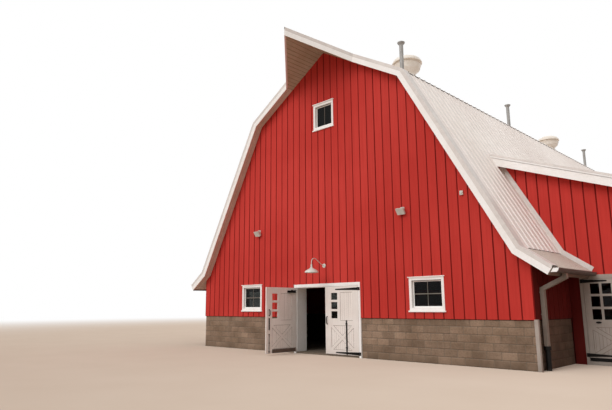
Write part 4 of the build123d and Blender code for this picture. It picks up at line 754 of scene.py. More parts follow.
@dataclass
class Studio:
    """Camera, floor, background and lamps."""

    place: Triple = (12.007, -26.599, 1.541)
    pan: float = 0.775342523  # radians to the left of +Y
    tilt: float = 0.186036027
    roll: float = -0.00622959
    lens: float = 31.7304
    floor_radius: float = 160.0
    floor_colour: str = "cdbcad"
    floor_patch: str = "c6b4a4"
    floor_fade: Pair = (24.0, 70.0)  # its colour runs out to white between these distances
    horizon: float = 0.25  # light of the world on the barn, from the side and from overhead
    zenith: float = 1.2
    sun: float = 1.3
    sun_turn: float = math.radians(-6)  # from -Y towards -X
    sun_height: float = math.radians(35)
    sun_width: float = math.radians(45)

    def set_camera(self) -> None:
        """Makes the camera: a right-handed frame from its pan and tilt, rolled about the view."""
        ahead = np.array([-math.sin(self.pan) * math.cos(self.tilt), math.cos(self.pan) * math.cos(self.tilt),
                          math.sin(self.tilt)])
        right = np.array([math.cos(self.pan), math.sin(self.pan), 0.0])
        up = np.cross(right, ahead)
        right, up = (math.cos(self.roll) * right + math.sin(self.roll) * up,
                     math.cos(self.roll) * up - math.sin(self.roll) * right)
        matrix = np.eye(4)
        matrix[:3, :3] = np.stack([right, up, -ahead], axis=1)
        matrix[:3, 3] = self.place
        data = bpy.data.cameras.new("camera")
        data.lens, data.sensor_width, data.clip_end = self.lens, 36.0, 500.0
        camera = linked("camera", data)
        camera.matrix_world = Matrix(matrix.tolist())
        bpy.context.scene.camera = camera
        log.info("camera set")

    def set_world(self) -> None:
        """White to the camera, to gloss and through glass. The rest is lit by a sky, brightest overhead."""
        world = bpy.data.worlds.new("overcast")
        bpy.context.scene.world = world
        world.use_nodes = True
        tree = world.node_tree
        tree.nodes.clear()
        ray = add(tree, "LightPath", {})
        seen = add(tree, "Math", {0: ray.outputs["Is Camera Ray"], 1: ray.outputs["Is Transmission Ray"]},
                   operation="MAXIMUM")
        seen = add(tree, "Math", {0: seen, 1: ray.outputs["Is Glossy Ray"]}, operation="MAXIMUM")
        direction = add(tree, "TexCoord", {}).outputs["Generated"]
        height = add(tree, "SeparateXYZ", {"Vector": direction}).outputs["Z"]
        strength = add(tree, "MapRange", {"Value": height, "To Min": self.horizon, "To Max": self.zenith})
        light = add(tree, "Background", {"Color": linear("fbfaf8"), "Strength": strength})
        white = add(tree, "Background", {"Color": (1.0, 1.0, 1.0, 1.0), "Strength": 1.0})
        mix = add(tree, "MixShader", {0: seen, 1: light, 2: white})
        add(tree, "OutputWorld", {"Surface": mix})
        bpy.context.scene.view_settings.view_transform = "Standard"

    def set_lamps(self) -> None:
        """A wide soft sun from the front and a little left, so the right side falls into shade."""
        data = bpy.data.lights.new("sun", "SUN")
        data.energy, data.angle = self.sun, self.sun_width
        linked("sun", data).rotation_euler = (math.pi / 2 - self.sun_height, 0.0, self.sun_turn)

    def set_floor(self) -> None:
        """A round floor, x = r cos t and y = r sin t, whose colour runs out to white before the horizon."""
        radius = np.array([0.0, 20.0, 40.0, 80.0, self.floor_radius])[:, None]
        angle = np.linspace(0, 2 * np.pi, 65)[None, :-1]
        points = np.stack([radius * np.cos(angle), radius * np.sin(angle), 0 * radius * angle], axis=-1)
        disc = grid(points, around=True)
        mesh = bpy.data.meshes.new("floor")
        mesh.from_pydata(disc.points.tolist(), [], disc.quads.tolist())
        work = bmesh.new()
        work.from_mesh(mesh)
        bmesh.ops.remove_doubles(work, verts=work.verts, dist=1e-5)
        work.to_mesh(mesh)
        work.free()
        material, tree = blank("pale_studio_floor")
        place = add(tree, "TexCoord", {}).outputs["Object"]
        far = add(tree, "VectorMath", {0: place}, operation="LENGTH")
        fade = add(tree, "MapRange", {"Value": far.outputs["Value"], "From Min": self.floor_fade[0],
                                     "From Max": self.floor_fade[1]}, interpolation_type="SMOOTHSTEP")
        speckle = add(tree, "TexNoise", {"Vector": place, "Scale": 0.6, "Detail": 4.0})
        tone = add(tree, "Mix", {0: speckle, 6: linear(self.floor_colour),
                                 7: linear(self.floor_patch)}, data_type="RGBA")
        matt = add(tree, "BsdfDiffuse", {"Color": tone.outputs[2], "Roughness": 1.0})
        glow = add(tree, "Emission", {"Color": (1.0, 1.0, 1.0, 1.0), "Strength": 1.0})
        ray = add(tree, "LightPath", {})
        share = add(tree, "Math", {0: fade, 1: ray.outputs["Is Camera Ray"]}, operation="MULTIPLY")
        mix = add(tree, "MixShader", {0: share, 1: matt, 2: glow})
        add(tree, "OutputMaterial", {"Surface": mix})
        mesh.materials.append(material)
        floor = linked("floor", mesh)

    def build(self) -> None:
        """Sets the whole studio."""
        self.set_camera()
        self.set_world()
        self.set_lamps()
        self.set_floor()


@dataclass
class Opening:
    """A window: where its middle stands on a wall, and its size over the casing."""

    u: float
    v: float
    width: float = 1.12
    height: float = 0.92

    def hole(self, inset: float = 0.03) -> Rect:
        """Its sides, drawn in by the inset. The default is what the siding leaves free under the casing."""
        half_width, half_height = self.width / 2 - inset, self.height / 2 - inset
        return self.u - half_width, self.u + half_width, self.v - half_height, self.v + half_height


class Wall(Enum):
    """The outer faces that carry siding, each as its origin and the direction of its local u."""

    FRONT = ((0.0, FRONT, 0.0), TO_RIGHT)
    REAR = ((0.0, BACK, 0.0), TO_LEFT)
    RIGHT = ((HALF, 0.0, 0.0), TO_BACK)
    LEFT = ((-HALF, 0.0, 0.0), TO_FRONT)
    WING_FRONT = ((0.0, WING_FRONT, 0.0), TO_RIGHT)
    WING_REAR = ((0.0, WING_BACK, 0.0), TO_LEFT)
    WING_SIDE = ((WING_RIGHT, 0.0, 0.0), TO_BACK)

    @property
    def place(self) -> Array:
        """Matrix from the wall's coordinates to the barn's."""
        return plane(*self.value, UP)


BESIDE_DOOR = 3.76
LOFT_SHIFT = 0.04
LOFT_WIDTH = 0.92
LOFT_LEVEL = 8.065
LOW_LEVEL = 1.87
WING_LEVEL = 1.7
SIDE_YS = (-10.728, -5.364, 0.0, 5.364, 10.728)
PAIR = [Opening(-BESIDE_DOOR, LOW_LEVEL), Opening(BESIDE_DOOR, LOW_LEVEL)]
WINDOWS: dict[Wall, list[Opening]] = {
    Wall.FRONT: [Opening(-LOFT_SHIFT, LOFT_LEVEL, LOFT_WIDTH), *PAIR],
    Wall.REAR: [Opening(LOFT_SHIFT, LOFT_LEVEL, LOFT_WIDTH), *PAIR],
    Wall.LEFT: [Opening(-y, LOW_LEVEL) for y in SIDE_YS],
    Wall.RIGHT: [Opening(y, LOW_LEVEL) for y in SIDE_YS if y > WING_BACK + 1.12],
    Wall.WING_SIDE: [Opening(WING_FRONT + 40 * BOARD * share, WING_LEVEL) for share in (0.25, 0.75)],
    Wall.WING_REAR: [Opening(-(HALF + WING_RIGHT) / 2, WING_LEVEL)],
}


def holes_of(wall: Wall, span: Pair = (-math.inf, math.inf)) -> list[Rect]:
    """What the siding leaves free for a wall's windows between two places along it."""
    return [window.hole() for window in WINDOWS.get(wall, []) if span[0] < window.u < span[1]]


@dataclass
class Siding:
    """Red boards on every outer wall."""

    finishes: Finishes
    foot: float = BASE_TOP - 0.012
    proud: float = 0.014
    door: Rect = (-1.478, 1.398, 0.0, 2.265)
    wing_door: Rect = (7.01, 8.55, 0.0, 2.31)
    clearance: float = 0.004
    wing_foot: float = 0.01  # the wing's end boards run down nearly to the ground
    wing_side_foot: float = 0.1
    base_cover: float = 0.019  # and reach in this far past the main wall's face, to the block base
    past_eave: float = 0.001
    under_bend: float = 0.19  # boards under the main eave stop this far under its underside, at its bend
    under_tip: float = 0.02  # and at its tip

    def gable(self, wall: Wall, holes: Sequence[Rect], seed: int) -> Surface:
        """Boards of an end wall, up to the underside of the roof.

        Args:
            wall: The front or the rear wall.
            holes: Its openings.
            seed: Seed of the shades.

        Returns:
            The boards in the barn's coordinates.
        """
        line = ROOF.points(-self.clearance)
        edge = HALF + self.proud
        corner = ROOF.height(edge)
        high = [(-edge, corner), *[(-x, z) for x, z in line[2:0:-1]], *line[:3], (edge, corner)]
        low = [(-edge, self.foot), (edge, self.foot)]
        return boards((-edge, edge), np.array(low), np.array(high), holes, seed=seed).placed(wall.place)

    def side(self, wall: Wall, span: Pair, foot: float, top: float, start: float, seed: int) -> Surface:
        """Boards of a side wall between two places along it.

        Args:
            wall: The wall.
            span: The two places.
            foot: Height of its lower edge.
            top: Height of its upper edge.
            start: A place where two boards meet.
            seed: Seed of the shades.

        Returns:
            The boards in the barn's coordinates.
        """
        low, high = (np.array([(u, level) for u in span]) for level in (foot, top - self.clearance))
        return boards(span, low, high, holes_of(wall, span), start=start, seed=seed).placed(wall.place)

    def wing_end(self, wall: Wall, side: int) -> list[Surface]:
        """Boards of a wing end wall, between the main roof and the wing's roof.

        Args:
            wall: The wing's front or rear wall.
            side: 1 where local u runs along X, -1 where it runs against X.

        Returns:
            The boards beyond the main roof, then those under its eave, in the barn's coordinates.
        """
        outer, under = ROOF.outer, ROOF.points(0.0)
        right, near, end = WING_RIGHT + self.proud, HALF - self.base_cover, outer[3, 0] + self.past_eave
        start = self.wing_start()
        holes = [self.wing_door]
        holes += [(u0, u1, v0, v1) if side > 0 else (-u1, -u0, v0, v1) for u0, u1, v0, v1 in holes_of(wall)]
        low = np.array([start, outer[2], outer[3], (end, self.wing_foot), (right, self.wing_foot)])
        high = np.array([start, (right, WING.height(right, WING.depth) - self.clearance)])
        beyond = boards((start[0], right), low, high, holes, seed=5)
        low = np.array([(near, self.wing_foot), (end, self.wing_foot)])
        high = np.array([(HALF + 0.002, under[2, 1] - self.under_bend), under[3] - (0.0, self.under_tip)])
        below = boards((near, end), low, high, holes, seed=6)
        return [(part if side > 0 else part.mirrored()).placed(wall.place) for part in (beyond, below)]

    def wing_start(self) -> Pair:
        """Where the underside of the wing's roof meets the outside of the main roof, found to 1 mm.

        Returns:
            Its place (x, z).
        """
        x = np.linspace(4.0, 6.5, 2501)
        at = x[np.argmax(WING.height(x, WING.depth) > ROOF.height(x, ROOF.depth))]
        return float(at), float(WING.height(at, WING.depth))

    def build(self) -> None:
        """Puts the siding on every wall and dresses the walls behind it."""
        red, shaded = self.finishes.siding, self.finishes.shaded_siding
        top = ROOF.height(HALF + self.proud)
        wing_top = WING.height(WING_RIGHT + self.proud, WING.depth)
        front_end, front_under = self.wing_end(Wall.WING_FRONT, 1)
        rear_end, rear_under = self.wing_end(Wall.WING_REAR, -1)
        wing_side = self.side(Wall.WING_SIDE, (WING_FRONT, WING_BACK), self.wing_side_foot, wing_top,
                              WING_FRONT, 14)
        for name, surface, finish in (
            ("front_siding", self.gable(Wall.FRONT, [self.door, *holes_of(Wall.FRONT)], 5), red),
            ("rear_siding", self.gable(Wall.REAR, holes_of(Wall.REAR), 4), red),
            ("left_siding", self.side(Wall.LEFT, (-BACK, BACK), self.foot, top, 0.0, 11), red),
            # the wall beside the wing and the wing's walls under the main eave take the red with painted shade
            ("corner_siding", self.side(Wall.RIGHT, (FRONT, WING_FRONT), self.foot, top, 0.0, 12), shaded),
            ("right_siding", self.side(Wall.RIGHT, (WING_BACK, BACK), self.foot, top, 0.0, 13), red),
            ("wing_front_siding", front_end, red),
            ("wing_front_eave_siding", front_under, shaded),
            ("wing_rear_siding", rear_end, red),
            ("wing_rear_eave_siding", rear_under, shaded),
            ("wing_side_siding", wing_side, red),
        ):
            piece(name, surface, finish)
        dress(red, "front_wall", "front_gable", "rear_wall", "left_wall", "right_wall", "wing_front_wall",
              "wing_front_gable", "wing_rear_wall", "wing_side_wall")


@dataclass
class BlockBase:
    """Moulded concrete blocks in running bond round the foot of the main barn."""

    finishes: Finishes
    door: Pair = (-1.493, 1.413)
    length: float = 0.4
    course: float = 0.2
    joint: float = 0.012
    proud: float = 0.008
    border: float = 0.018
    # the next two heights bound a black strip of painted shadow under the boards' foot
    painted_shadow: float = 0.028  # foot of the felt, this far under the top of the base
    painted_shadow_top: float = 0.012
    shortest: float = 0.05  # a shorter piece of block is left out

    def blocks(self, spans: Sequence[Pair], seed: int) -> Surface:
        """Pillow-faced blocks over some stretches of a wall, in its local coordinates.

        Each face is a grid of five by five points: 0 on its rim, and proud from the border inwards, with a
        little random depth.

        Args:
            spans: The stretches of the wall, as first and last u.
            seed: Seed of the depths and shades.

        Returns:
            The faces of all blocks.
        """
        rng = np.random.default_rng(seed)
        rows = []
        for number in range(round(BASE_TOP / self.course)):
            shift = 0.5 * self.length * (number % 2)
            for first, last in spans:
                start = math.floor((first - shift) / self.length)
                stop = math.ceil((last - shift) / self.length)
                edges = np.clip(np.arange(start, stop + 1) * self.length + shift, first, last)
                left, right = edges[:-1], edges[1:]
                keep = right - left > self.shortest
                v = np.full(keep.sum(), number * self.course)
                rows.append(np.stack([left[keep], right[keep], v, v + self.course], axis=1))
        box = np.concatenate(rows) + np.array([0.5, -0.5, 0.5, -0.5]) * self.joint
        u, v = [np.stack([a, a + self.border, (a + b) / 2, b - self.border, b], axis=1)
                for a, b in (box[:, :2].T, box[:, 2:].T)]
        lift = np.array([0.0, 1.0, 1.0, 1.0, 0.0])
        depth = self.proud * lift[:, None] * lift * (0.75 + 0.5 * rng.random((len(box), 5, 5)))
        points = np.stack(np.broadcast_arrays(u[:, :, None], v[:, None, :], depth), axis=-1)
        return grid(points, rng.random(len(box)))

    def build(self) -> None:
        """Lays the blocks of the four walls and dresses the walls behind them."""
        kit = self.finishes
        face, front, back = HALF - BASE_STEP, FRONT + BASE_STEP, BACK - BASE_STEP
        beside_door = [(-face, self.door[0]), (self.door[1], face)]
        beside_wing = [(front, WING_FRONT), (WING_BACK, back)]
        walls = (
            ("front_blocks", (0.0, front, 0.0), TO_RIGHT, beside_door, kit.block),
            ("rear_blocks", (0.0, back, 0.0), TO_LEFT, [(-face, face)], kit.block),
            # the long sides take the block with painted shade
            ("left_blocks", (-face, 0.0, 0.0), TO_FRONT, [(front, back)], kit.shaded_block),
            ("right_blocks", (face, 0.0, 0.0), TO_BACK, beside_wing, kit.shaded_block),
        )
        lines = []
        for seed, (name, origin, across, spans, finish) in enumerate(walls):
            place = plane(origin, across, UP)
            piece(name, self.blocks(spans, 20 + seed).placed(place), finish)
            # a black strip of painted shadow where the boards overhang the blocks
            limits = (BASE_TOP - self.painted_shadow, BASE_TOP - self.painted_shadow_top, 0.0, self.proud + 0.004)
            lines.append(bars(np.array([(*span, *limits) for span in spans]), 0.001).placed(place))
        piece("sill_shadow_line", joined(lines), kit.painted_shadow, closed=True)
        dress(kit.mortar, "front_block_base", "rear_block_base", "floor_slabs")
        dress(kit.shaded_block, "side_block_bases")
        dress(kit.loft, "loft_floor")


@dataclass
class RibbedSheet:
    """Ribbed steel sheet over one slope: an upright profile in y, carried down the slope."""

    pitch: float = BOARD  # twelve inches from rib to rib
    rib: float = 0.021
    rib_foot: float = 0.07
    rib_top: float = 0.026
    lift: float = 0.003

    def profile(self, first: float, last: float) -> tuple[Array, Array]:
        """Places along y and the height of the sheet there.

        The height is a trapezium over each rib: full within half of rib_top of its middle, and down to
        nothing at half of rib_foot.

        Args:
            first: Where the sheet starts.
            last: Where it ends.

        Returns:
            The places and the heights.
        """
        middles = self.pitch * np.arange(math.floor(first / self.pitch), math.ceil(last / self.pitch) + 1)
        steps = np.array([-self.rib_foot, -self.rib_top, self.rib_top, self.rib_foot]) / 2
        y = np.unique(np.clip((middles[:, None] + steps).reshape(-1), first, last))
        y = np.unique(np.concatenate([[first], y, [last]]))
        away = np.abs(y - self.pitch * np.round(y / self.pitch))
        rise = np.clip((self.rib_foot / 2 - away) / (self.rib_foot - self.rib_top) * 2, 0, 1)
        return y, self.lift + self.rib * rise

    def slope(self, top: Array, foot: Array, first: float, last: float, run: Array | None = None) -> Surface:
        """The sheet from a top line to a foot line, both given as (x, z) of the slope's flat.

        A point is top + s (foot - top) + h(y) n, where n is square to the slope and s runs from 0 to 1, or to
        run(y) where the foot is cut on a slant. The valleys and the ribs' flanks have the shade of grooves,
        which the flare's finish colours as dust and painted shade.

        Args:
            top: Point of the ridge side.
            foot: Point of the eave side.
            first: Where the sheet starts in y.
            last: Where it ends in y.
            run: Share of the slope that is covered, at each place of the profile.

        Returns:
            The sheet, looking outwards on either side of the roof.
        """
        y, high = self.profile(first, last)
        share = np.ones(len(y)) if run is None else np.clip(np.interp(y, run[:, 0], run[:, 1]), 0, 1)
        right = foot[0] > top[0]
        normal = downhill(top, foot)[1] * (1 if right else -1)
        s = np.linspace(0, 1, 5)[:, None] * share
        x, z = [top[i] + s * (foot[i] - top[i]) + high * normal[i] for i in (0, 1)]
        # valleys and flanks take the groove shade: dust and painted shade on the flares
        valley_dust_and_shade = np.where(high[:-1] + high[1:] < 2 * self.lift + 1.2 * self.rib, GROOVE, 0.5)
        sheet = skin(x, y, z, not right)
        sheet.shades = np.tile(valley_dust_and_shade if right else valley_dust_and_shade[::-1], len(s) - 1)
        return sheet

    def mouth(self, line: Array, normal: Array, under: float, first: float, last: float) -> Surface:
        """The strip that closes the rib mouths at a sheet's lower edge, up to its profile.

        Args:
            line: The edge's place (x, z).
            normal: Direction out of the slope, as (x, z).
            under: How far the strip reaches down.
            first: Where it starts in y.
            last: Where it ends in y.

        Returns:
            The strip.
        """
        y, high = self.profile(first, last)
        h = np.stack([np.full(len(y), -under), high - 0.001])
        return skin(line[0] + h * normal[0], y, line[1] + h * normal[1], normal[0] >= 0)


@dataclass
class MetalRoof:
    """Ribbed sheets, flashings and soffits of the main roof, the hay hood and the wing."""

    finishes: Finishes
    sheet: RibbedSheet = field(default_factory=RibbedSheet)
    flare_sheet: RibbedSheet = field(default_factory=lambda: RibbedSheet(BOARD / 2, 0.02, 0.09, 0.05))
    hood_tip: float = FRONT - 1.88
    hood_half: float = 1.57
    knee_overhang: float = 0.05
    flare_overhang: float = 0.004
    closure_drop: float = 0.034
    band: float = 0.3
    band_lift: float = 0.058
    lip: float = 0.045
    out: float = 0.0255  # the lip stands just clear of the rake board
    raised: float = 0.03  # upper and lower sheets lie this far over the slab, clear of the ribs below
    soffit_board: float = 0.14
    rake_board: float = 0.15
    eave_board: float = 0.61
    soffit_relief: Triple = (0.002, 0.008, 0.004)
    reach: float = 7.33  # no flashing stands out past the gutter's back
    rear_edge: float = ROOF_END - 0.0006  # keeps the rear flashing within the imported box
    cap_half: float = 0.275
    cap_tip: float = 0.04  # share of the ridge cap's width that is left at the hood's tip
    cap_hem: float = 0.018
    screw_x: float = 0.225
    wing_rake: float = 0.305
    wing_out: float = 0.025
    # The wing's rakes have a broad board face stepped out under a narrow one, and over it a folded flashing.
    wing_board: Sequence[Pair] = ((0.012, 0.0), (0.012, -0.085), (0.0, -0.085), (0.0, -0.094), (0.005, -0.1))
    wing_fold: Sequence[Pair] = ((-0.016, -0.03), (-0.016, 0.024), (0.0, 0.027), (0.2, 0.025), (0.21, 0.0))

    def main_sheets(self) -> tuple[Surface, Surface, Surface]:
        """Sheets of both sides and the closures at their feet, left free where the wing stands.

        Returns:
            The sheets of the two slopes, those of the flares, then the closure strips.
        """
        sheets, flares, mouths = [], [], []
        overs = (self.knee_overhang, 0.0, self.flare_overhang)
        for number, (top, foot, over) in enumerate(zip(ROOF.outer[:-1], ROOF.outer[1:], overs)):
            flared = number == 2
            sheet, row = (self.flare_sheet, flares) if flared else (self.sheet, sheets)
            way, normal = downhill(top, foot)
            raised, drop = (normal * 0.0, 0.0) if flared else (normal * self.raised, self.closure_drop)
            for side in (-1, 1):
                runs = [(ROOF_START, ROOF_END)]
                if number and side > 0:
                    runs = [(ROOF_START, WING_FRONT - 0.001), (WING_BACK + 0.001, ROOF_END)]
                flip = np.array([side, 1])
                start, end = (top + raised) * flip, (foot + way * over + raised) * flip
                strip = (foot + way * (over - 0.002) + raised) * flip
                for first, last in runs:
                    row.append(sheet.slope(start, end, first, last))
                    mouths.append(sheet.mouth(strip, normal * flip, drop, first, last))
        return joined(sheets), joined(flares), joined(mouths)

    def upper_over_wing(self) -> Surface:
        """The lower slope above the wing, from the knee down to the wing's roof.

        Returns:
            The sheet.
        """
        _, knee, bend, _ = ROOF.outer
        raised = downhill(knee, bend)[1] * self.raised
        return self.sheet.slope(knee + raised, np.array(WING.meets) + raised, WING_FRONT, WING_BACK)

    def hood_sheets(self) -> Surface:
        """Sheets over the hay hood: each rib is as long as the slanted edge leaves it.

        Returns:
            The sheets of both sides.
        """
        top, foot = ROOF.outer[0], np.array([self.hood_half, ROOF.height(self.hood_half, ROOF.depth)])
        raised = downhill(top, foot)[1] * self.raised
        run = np.array([(self.hood_tip, 0.0), (ROOF_START, 1.0)])
        line = np.array([top, foot]) + raised
        sides = [line * (side, 1) for side in (-1, 1)]
        return joined([self.sheet.slope(*side, self.hood_tip, ROOF_START, run) for side in sides])

    def wing_sheet(self) -> Surface:
        """The wing's sheet, from the main roof out over the eave.

        Returns:
            The sheet.
        """
        edge, past = WING.eave + 0.015, 0.28
        foot = np.array([edge, WING.height(edge)])
        return self.sheet.slope(np.array(WING.meets), foot, WING_FRONT - past, WING_BACK + past)

    def band_section(self) -> Array:
        """Section of a rake flashing: a lip over the edge, a flat over the ribs and a hem turned down.

        Returns:
            Points (distance in from the edge, height over the roof), of shape (6, 2).
        """
        return np.array([(-self.out, -self.lip), (-self.out, self.band_lift), (0.0, self.band_lift + 0.002),
                         (self.band - 0.01, self.band_lift), (self.band, self.band_lift - 0.006),
                         (self.band, 0.0)])

    def band_along(self, line: Array, y: float, inward: int) -> Surface:
        """A folded flashing along the rake of a row of slopes.

        It runs along the roof's line, moved out by the section's height along the bisector at each kink.

        Args:
            line: Points (x, z) of the outer face, from one eave to the other.
            y: The rake's edge.
            inward: 1 where the roof lies behind the edge, -1 where it lies in front.

        Returns:
            The flashing.
        """
        across, high = self.band_section().T
        way = np.diff(line, axis=0)
        way /= np.linalg.norm(way, axis=1, keepdims=True)
        normals = np.stack([-way[:, 1], way[:, 0]], axis=1)
        sums = np.concatenate([normals[:1], normals[:-1] + normals[1:], normals[-1:]])
        dots = np.concatenate([[0.0], (normals[:-1] * normals[1:]).sum(axis=1), [0.0]])
        bisector = sums / (1 + dots)[:, None]
        spots = line[:, None] + high[None, :, None] * bisector[:, None]
        x = np.clip(spots[..., 0], -self.reach, self.reach)
        return skin(x, y + inward * across, spots[..., 1], inward > 0)

    def bands(self) -> Surface:
        """Flashings along the front and rear rakes and the hood's slanted edges.

        A slanted one runs from the tip, and near the tip it stops at the ridge, where x is 0.

        Returns:
            The flashings.
        """
        outer = ROOF.outer
        whole = np.concatenate([outer[::-1] * (-1, 1), outer[1:]])
        start = np.array([(self.hood_half, ROOF.height(self.hood_half, ROOF.depth)), *outer[1:]])
        parts = [self.band_along(whole, self.rear_edge, -1), self.band_along(start, ROOF_START, 1),
                 self.band_along((start * (-1, 1))[::-1], ROOF_START, 1)]
        across, high = self.band_section().T
        length = math.hypot(self.hood_half, ROOF_START - self.hood_tip)
        slant = np.array([self.hood_half, ROOF_START - self.hood_tip]) / length
        s = np.array([0.0, length])[:, None]
        x = s * slant[0] - across * slant[1]
        beyond = np.where(x < 0, across / slant[0], s * slant[1] + across * slant[0])
        x, y = np.maximum(x, 0.0), self.hood_tip + beyond
        z = ROOF.height(x, ROOF.depth) + high / math.cos(ROOF.upper)
        return joined([*parts, *[skin(side * x, y, z, side < 0) for side in (-1, 1)]])

    def hood_soffit(self, side: int) -> Surface:
        """Boards under one side of the hood, from its slanted edge back to the gable, with their faces down.

        Args:
            side: 1 on the right, -1 on the left.

        Returns:
            The boards.
        """
        behind = 0.05
        long = self.hood_half / math.cos(ROOF.upper)
        edge = np.array([(0.0, -side * (self.hood_tip + behind)), (long, -side * (ROOF_START + behind))])
        wall = np.array([(0.0, -side * FRONT), (long, -side * FRONT)])
        low, high = (wall, edge) if side > 0 else (edge, wall)
        down = (side * math.cos(ROOF.upper), 0.0, -math.sin(ROOF.upper))
        return boards((0.0, long), low, high, pitch=self.soffit_board, relief=self.soffit_relief,
                      seed=31 + side).placed(plane((0.0, 0.0, ROOF.height(0.0)), down, (0.0, -side, 0.0)))

    def soffit(self, side: int, top: Array, foot: Array, span: Pair, width: float, seed: int) -> Surface:
        """Boards under a rake or an eave that run down a slope, with their faces down.

        Args:
            side: 1 on the right, -1 on the left.
            top: Upper edge on the right side, as (x, z).
            foot: Lower edge on the right side, as (x, z).
            span: Where they start and end in y.
            width: Face width of a board.
            seed: Seed of the shades.

        Returns:
            The boards.
        """
        long = float(np.linalg.norm(foot - top))
        way = (foot - top) / long
        ends = span if side > 0 else (-span[1], -span[0])
        low = np.array([(end, 0.0) for end in ends])
        place = plane((side * top[0], 0.0, top[1]), (0.0, side, 0.0), (side * way[0], 0.0, way[1]))
        return boards(ends, low, low + (0, long), pitch=width, start=ends[0], relief=self.soffit_relief,
                      seed=seed).placed(place)

    def soffits(self) -> Surface:
        """Boards under the rakes and under the eaves.

        Returns:
            The boards of both sides.
        """
        under = ROOF.points(0.0)
        beside_hood = np.array([self.hood_half, ROOF.height(self.hood_half)])
        parts = []
        for side in (-1, 1):
            for number, (top, foot) in enumerate(zip(under[:-1], under[1:])):
                front_top = top if number else beside_hood
                for begin, span in ((front_top, (ROOF_START, FRONT)), (top, (BACK, ROOF_END))):
                    parts.append(self.soffit(side, begin, foot, span, self.rake_board, 40 + number))
            wall = np.array([HALF, ROOF.wall_top])
            for span in ([(FRONT, BACK)] if side < 0 else [(FRONT, WING_FRONT), (WING_BACK, BACK)]):
                parts.append(self.soffit(side, wall, under[3], span, self.eave_board, 50))
        return joined(parts)

    def wing_edges(self, section: Sequence[Pair], lift: float, past: float, inward: int) -> Surface:
        """A section carried down both rakes of the wing's roof.

        Args:
            section: Points (distance from the rake, height).
            lift: Height over the wing's roof from which the section counts.
            past: How far it runs past the eave.
            inward: 1 where the distance counts in over the roof, -1 where it counts out.

        Returns:
            Both edges.
        """
        across, high = np.array(section).T
        x = np.array([WING.meets[0], WING.eave + past])[:, None]
        z = WING.height(x) + lift + high / math.cos(WING.pitch)
        ends = ((WING_FRONT - self.wing_rake, 1), (WING_BACK + self.wing_rake, -1))
        return joined([skin(x, y + way * inward * across, z, way > 0) for y, way in ends])

    def ridge_flashing(self) -> Surface:
        """The folded cap over the ridge: a flat on each side, with a hem at its edge, carried along y.

        At the hood's tip it narrows with the slanted edges, nearly to a point.

        Returns:
            The cap.
        """
        across = self.cap_half * np.array([1.0, 0.98, 0.87, 0.0, -0.87, -0.98, -1.0])
        flat, fold = self.band_lift + 0.002, self.band_lift - 0.002
        high = np.array([self.cap_hem, fold, flat, flat, flat, fold, self.cap_hem])
        full = self.hood_tip + self.cap_half * (ROOF_START - self.hood_tip) / self.hood_half
        y = np.array([self.hood_tip - 0.02, full, *np.linspace(ROOF_START, ROOF_END + 0.02, 12)])[:, None]
        x = np.where(y < full, self.cap_tip, 1.0) * across
        return skin(x, y, ROOF.height(x, ROOF.depth) + high / math.cos(ROOF.upper))

    def ridge_screws(self) -> Surface:
        """Screw heads along both edges of the ridge cap, one to each rib.

        Returns:
            The heads.
        """
        pitch = self.sheet.pitch
        y = pitch * np.arange(math.ceil(self.hood_tip / pitch) + 1, math.floor(ROOF_END / pitch))
        parts = []
        for side in (-1, 1):
            out = (side * math.sin(ROOF.upper), 0.0, math.cos(ROOF.upper))
            x = np.full(len(y), side * self.screw_x)
            z = ROOF.height(x, ROOF.depth) + (self.band_lift + 0.0025) / math.cos(ROOF.upper)
            parts.append(heads(np.stack([x, y, z], axis=1), out, 0.012, 0.006))
        return joined(parts)

    def build(self) -> None:
        """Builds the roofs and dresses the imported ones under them."""
        kit = self.finishes
        sheets, flares, mouths = self.main_sheets()
        hood_boards = joined([self.hood_soffit(side) for side in (-1, 1)])
        rakes = self.wing_edges(self.wing_board, 0.012, self.wing_out, -1)
        folds = self.wing_edges(self.wing_fold, 0.0, self.wing_out - 0.0005, 1)
        for name, surface, finish, slot in (
            ("main_roof_sheets", joined([sheets, self.upper_over_wing()]), kit.roof, "roof_metal"),
            ("flare_sheets", flares, kit.flare, "roof_metal"),
            ("rib_closures", mouths, kit.closure, "black_iron"),
            ("hood_roof_sheets", self.hood_sheets(), kit.roof, "roof_metal"),
            ("wing_roof_sheet", self.wing_sheet(), kit.roof, "roof_metal"),
            ("rake_flashings", self.bands(), kit.flashing, "roof_metal"),
            ("wing_rake_boards", rakes, kit.trim, "white_trim"),
            ("wing_rake_flashings", folds, kit.flashing, "roof_metal"),
            ("hood_soffit_boards", hood_boards, kit.hood, "loft_boards"),
            ("soffit_boards", self.soffits(), kit.soffit, "white_trim"),
            ("ridge_flashing", self.ridge_flashing(), kit.flashing, "roof_metal"),
        ):
            piece(name, surface, finish)
        piece("ridge_screws", self.ridge_screws(), kit.flashing, closed=True)
        dress(kit.roof, "roof_upper", "roof_lower", "roof_flares", "roof_flare_in_wing", "hay_hood",
              "wing_roof")
        dress(kit.flashing, "ridge_cap", "wing_flashing")
        dress(kit.trim, "rake_boards", "wing_fascia")
        # the eave boards take a dark tan of painted shade
        dress(kit.tan, "eave_fascia")


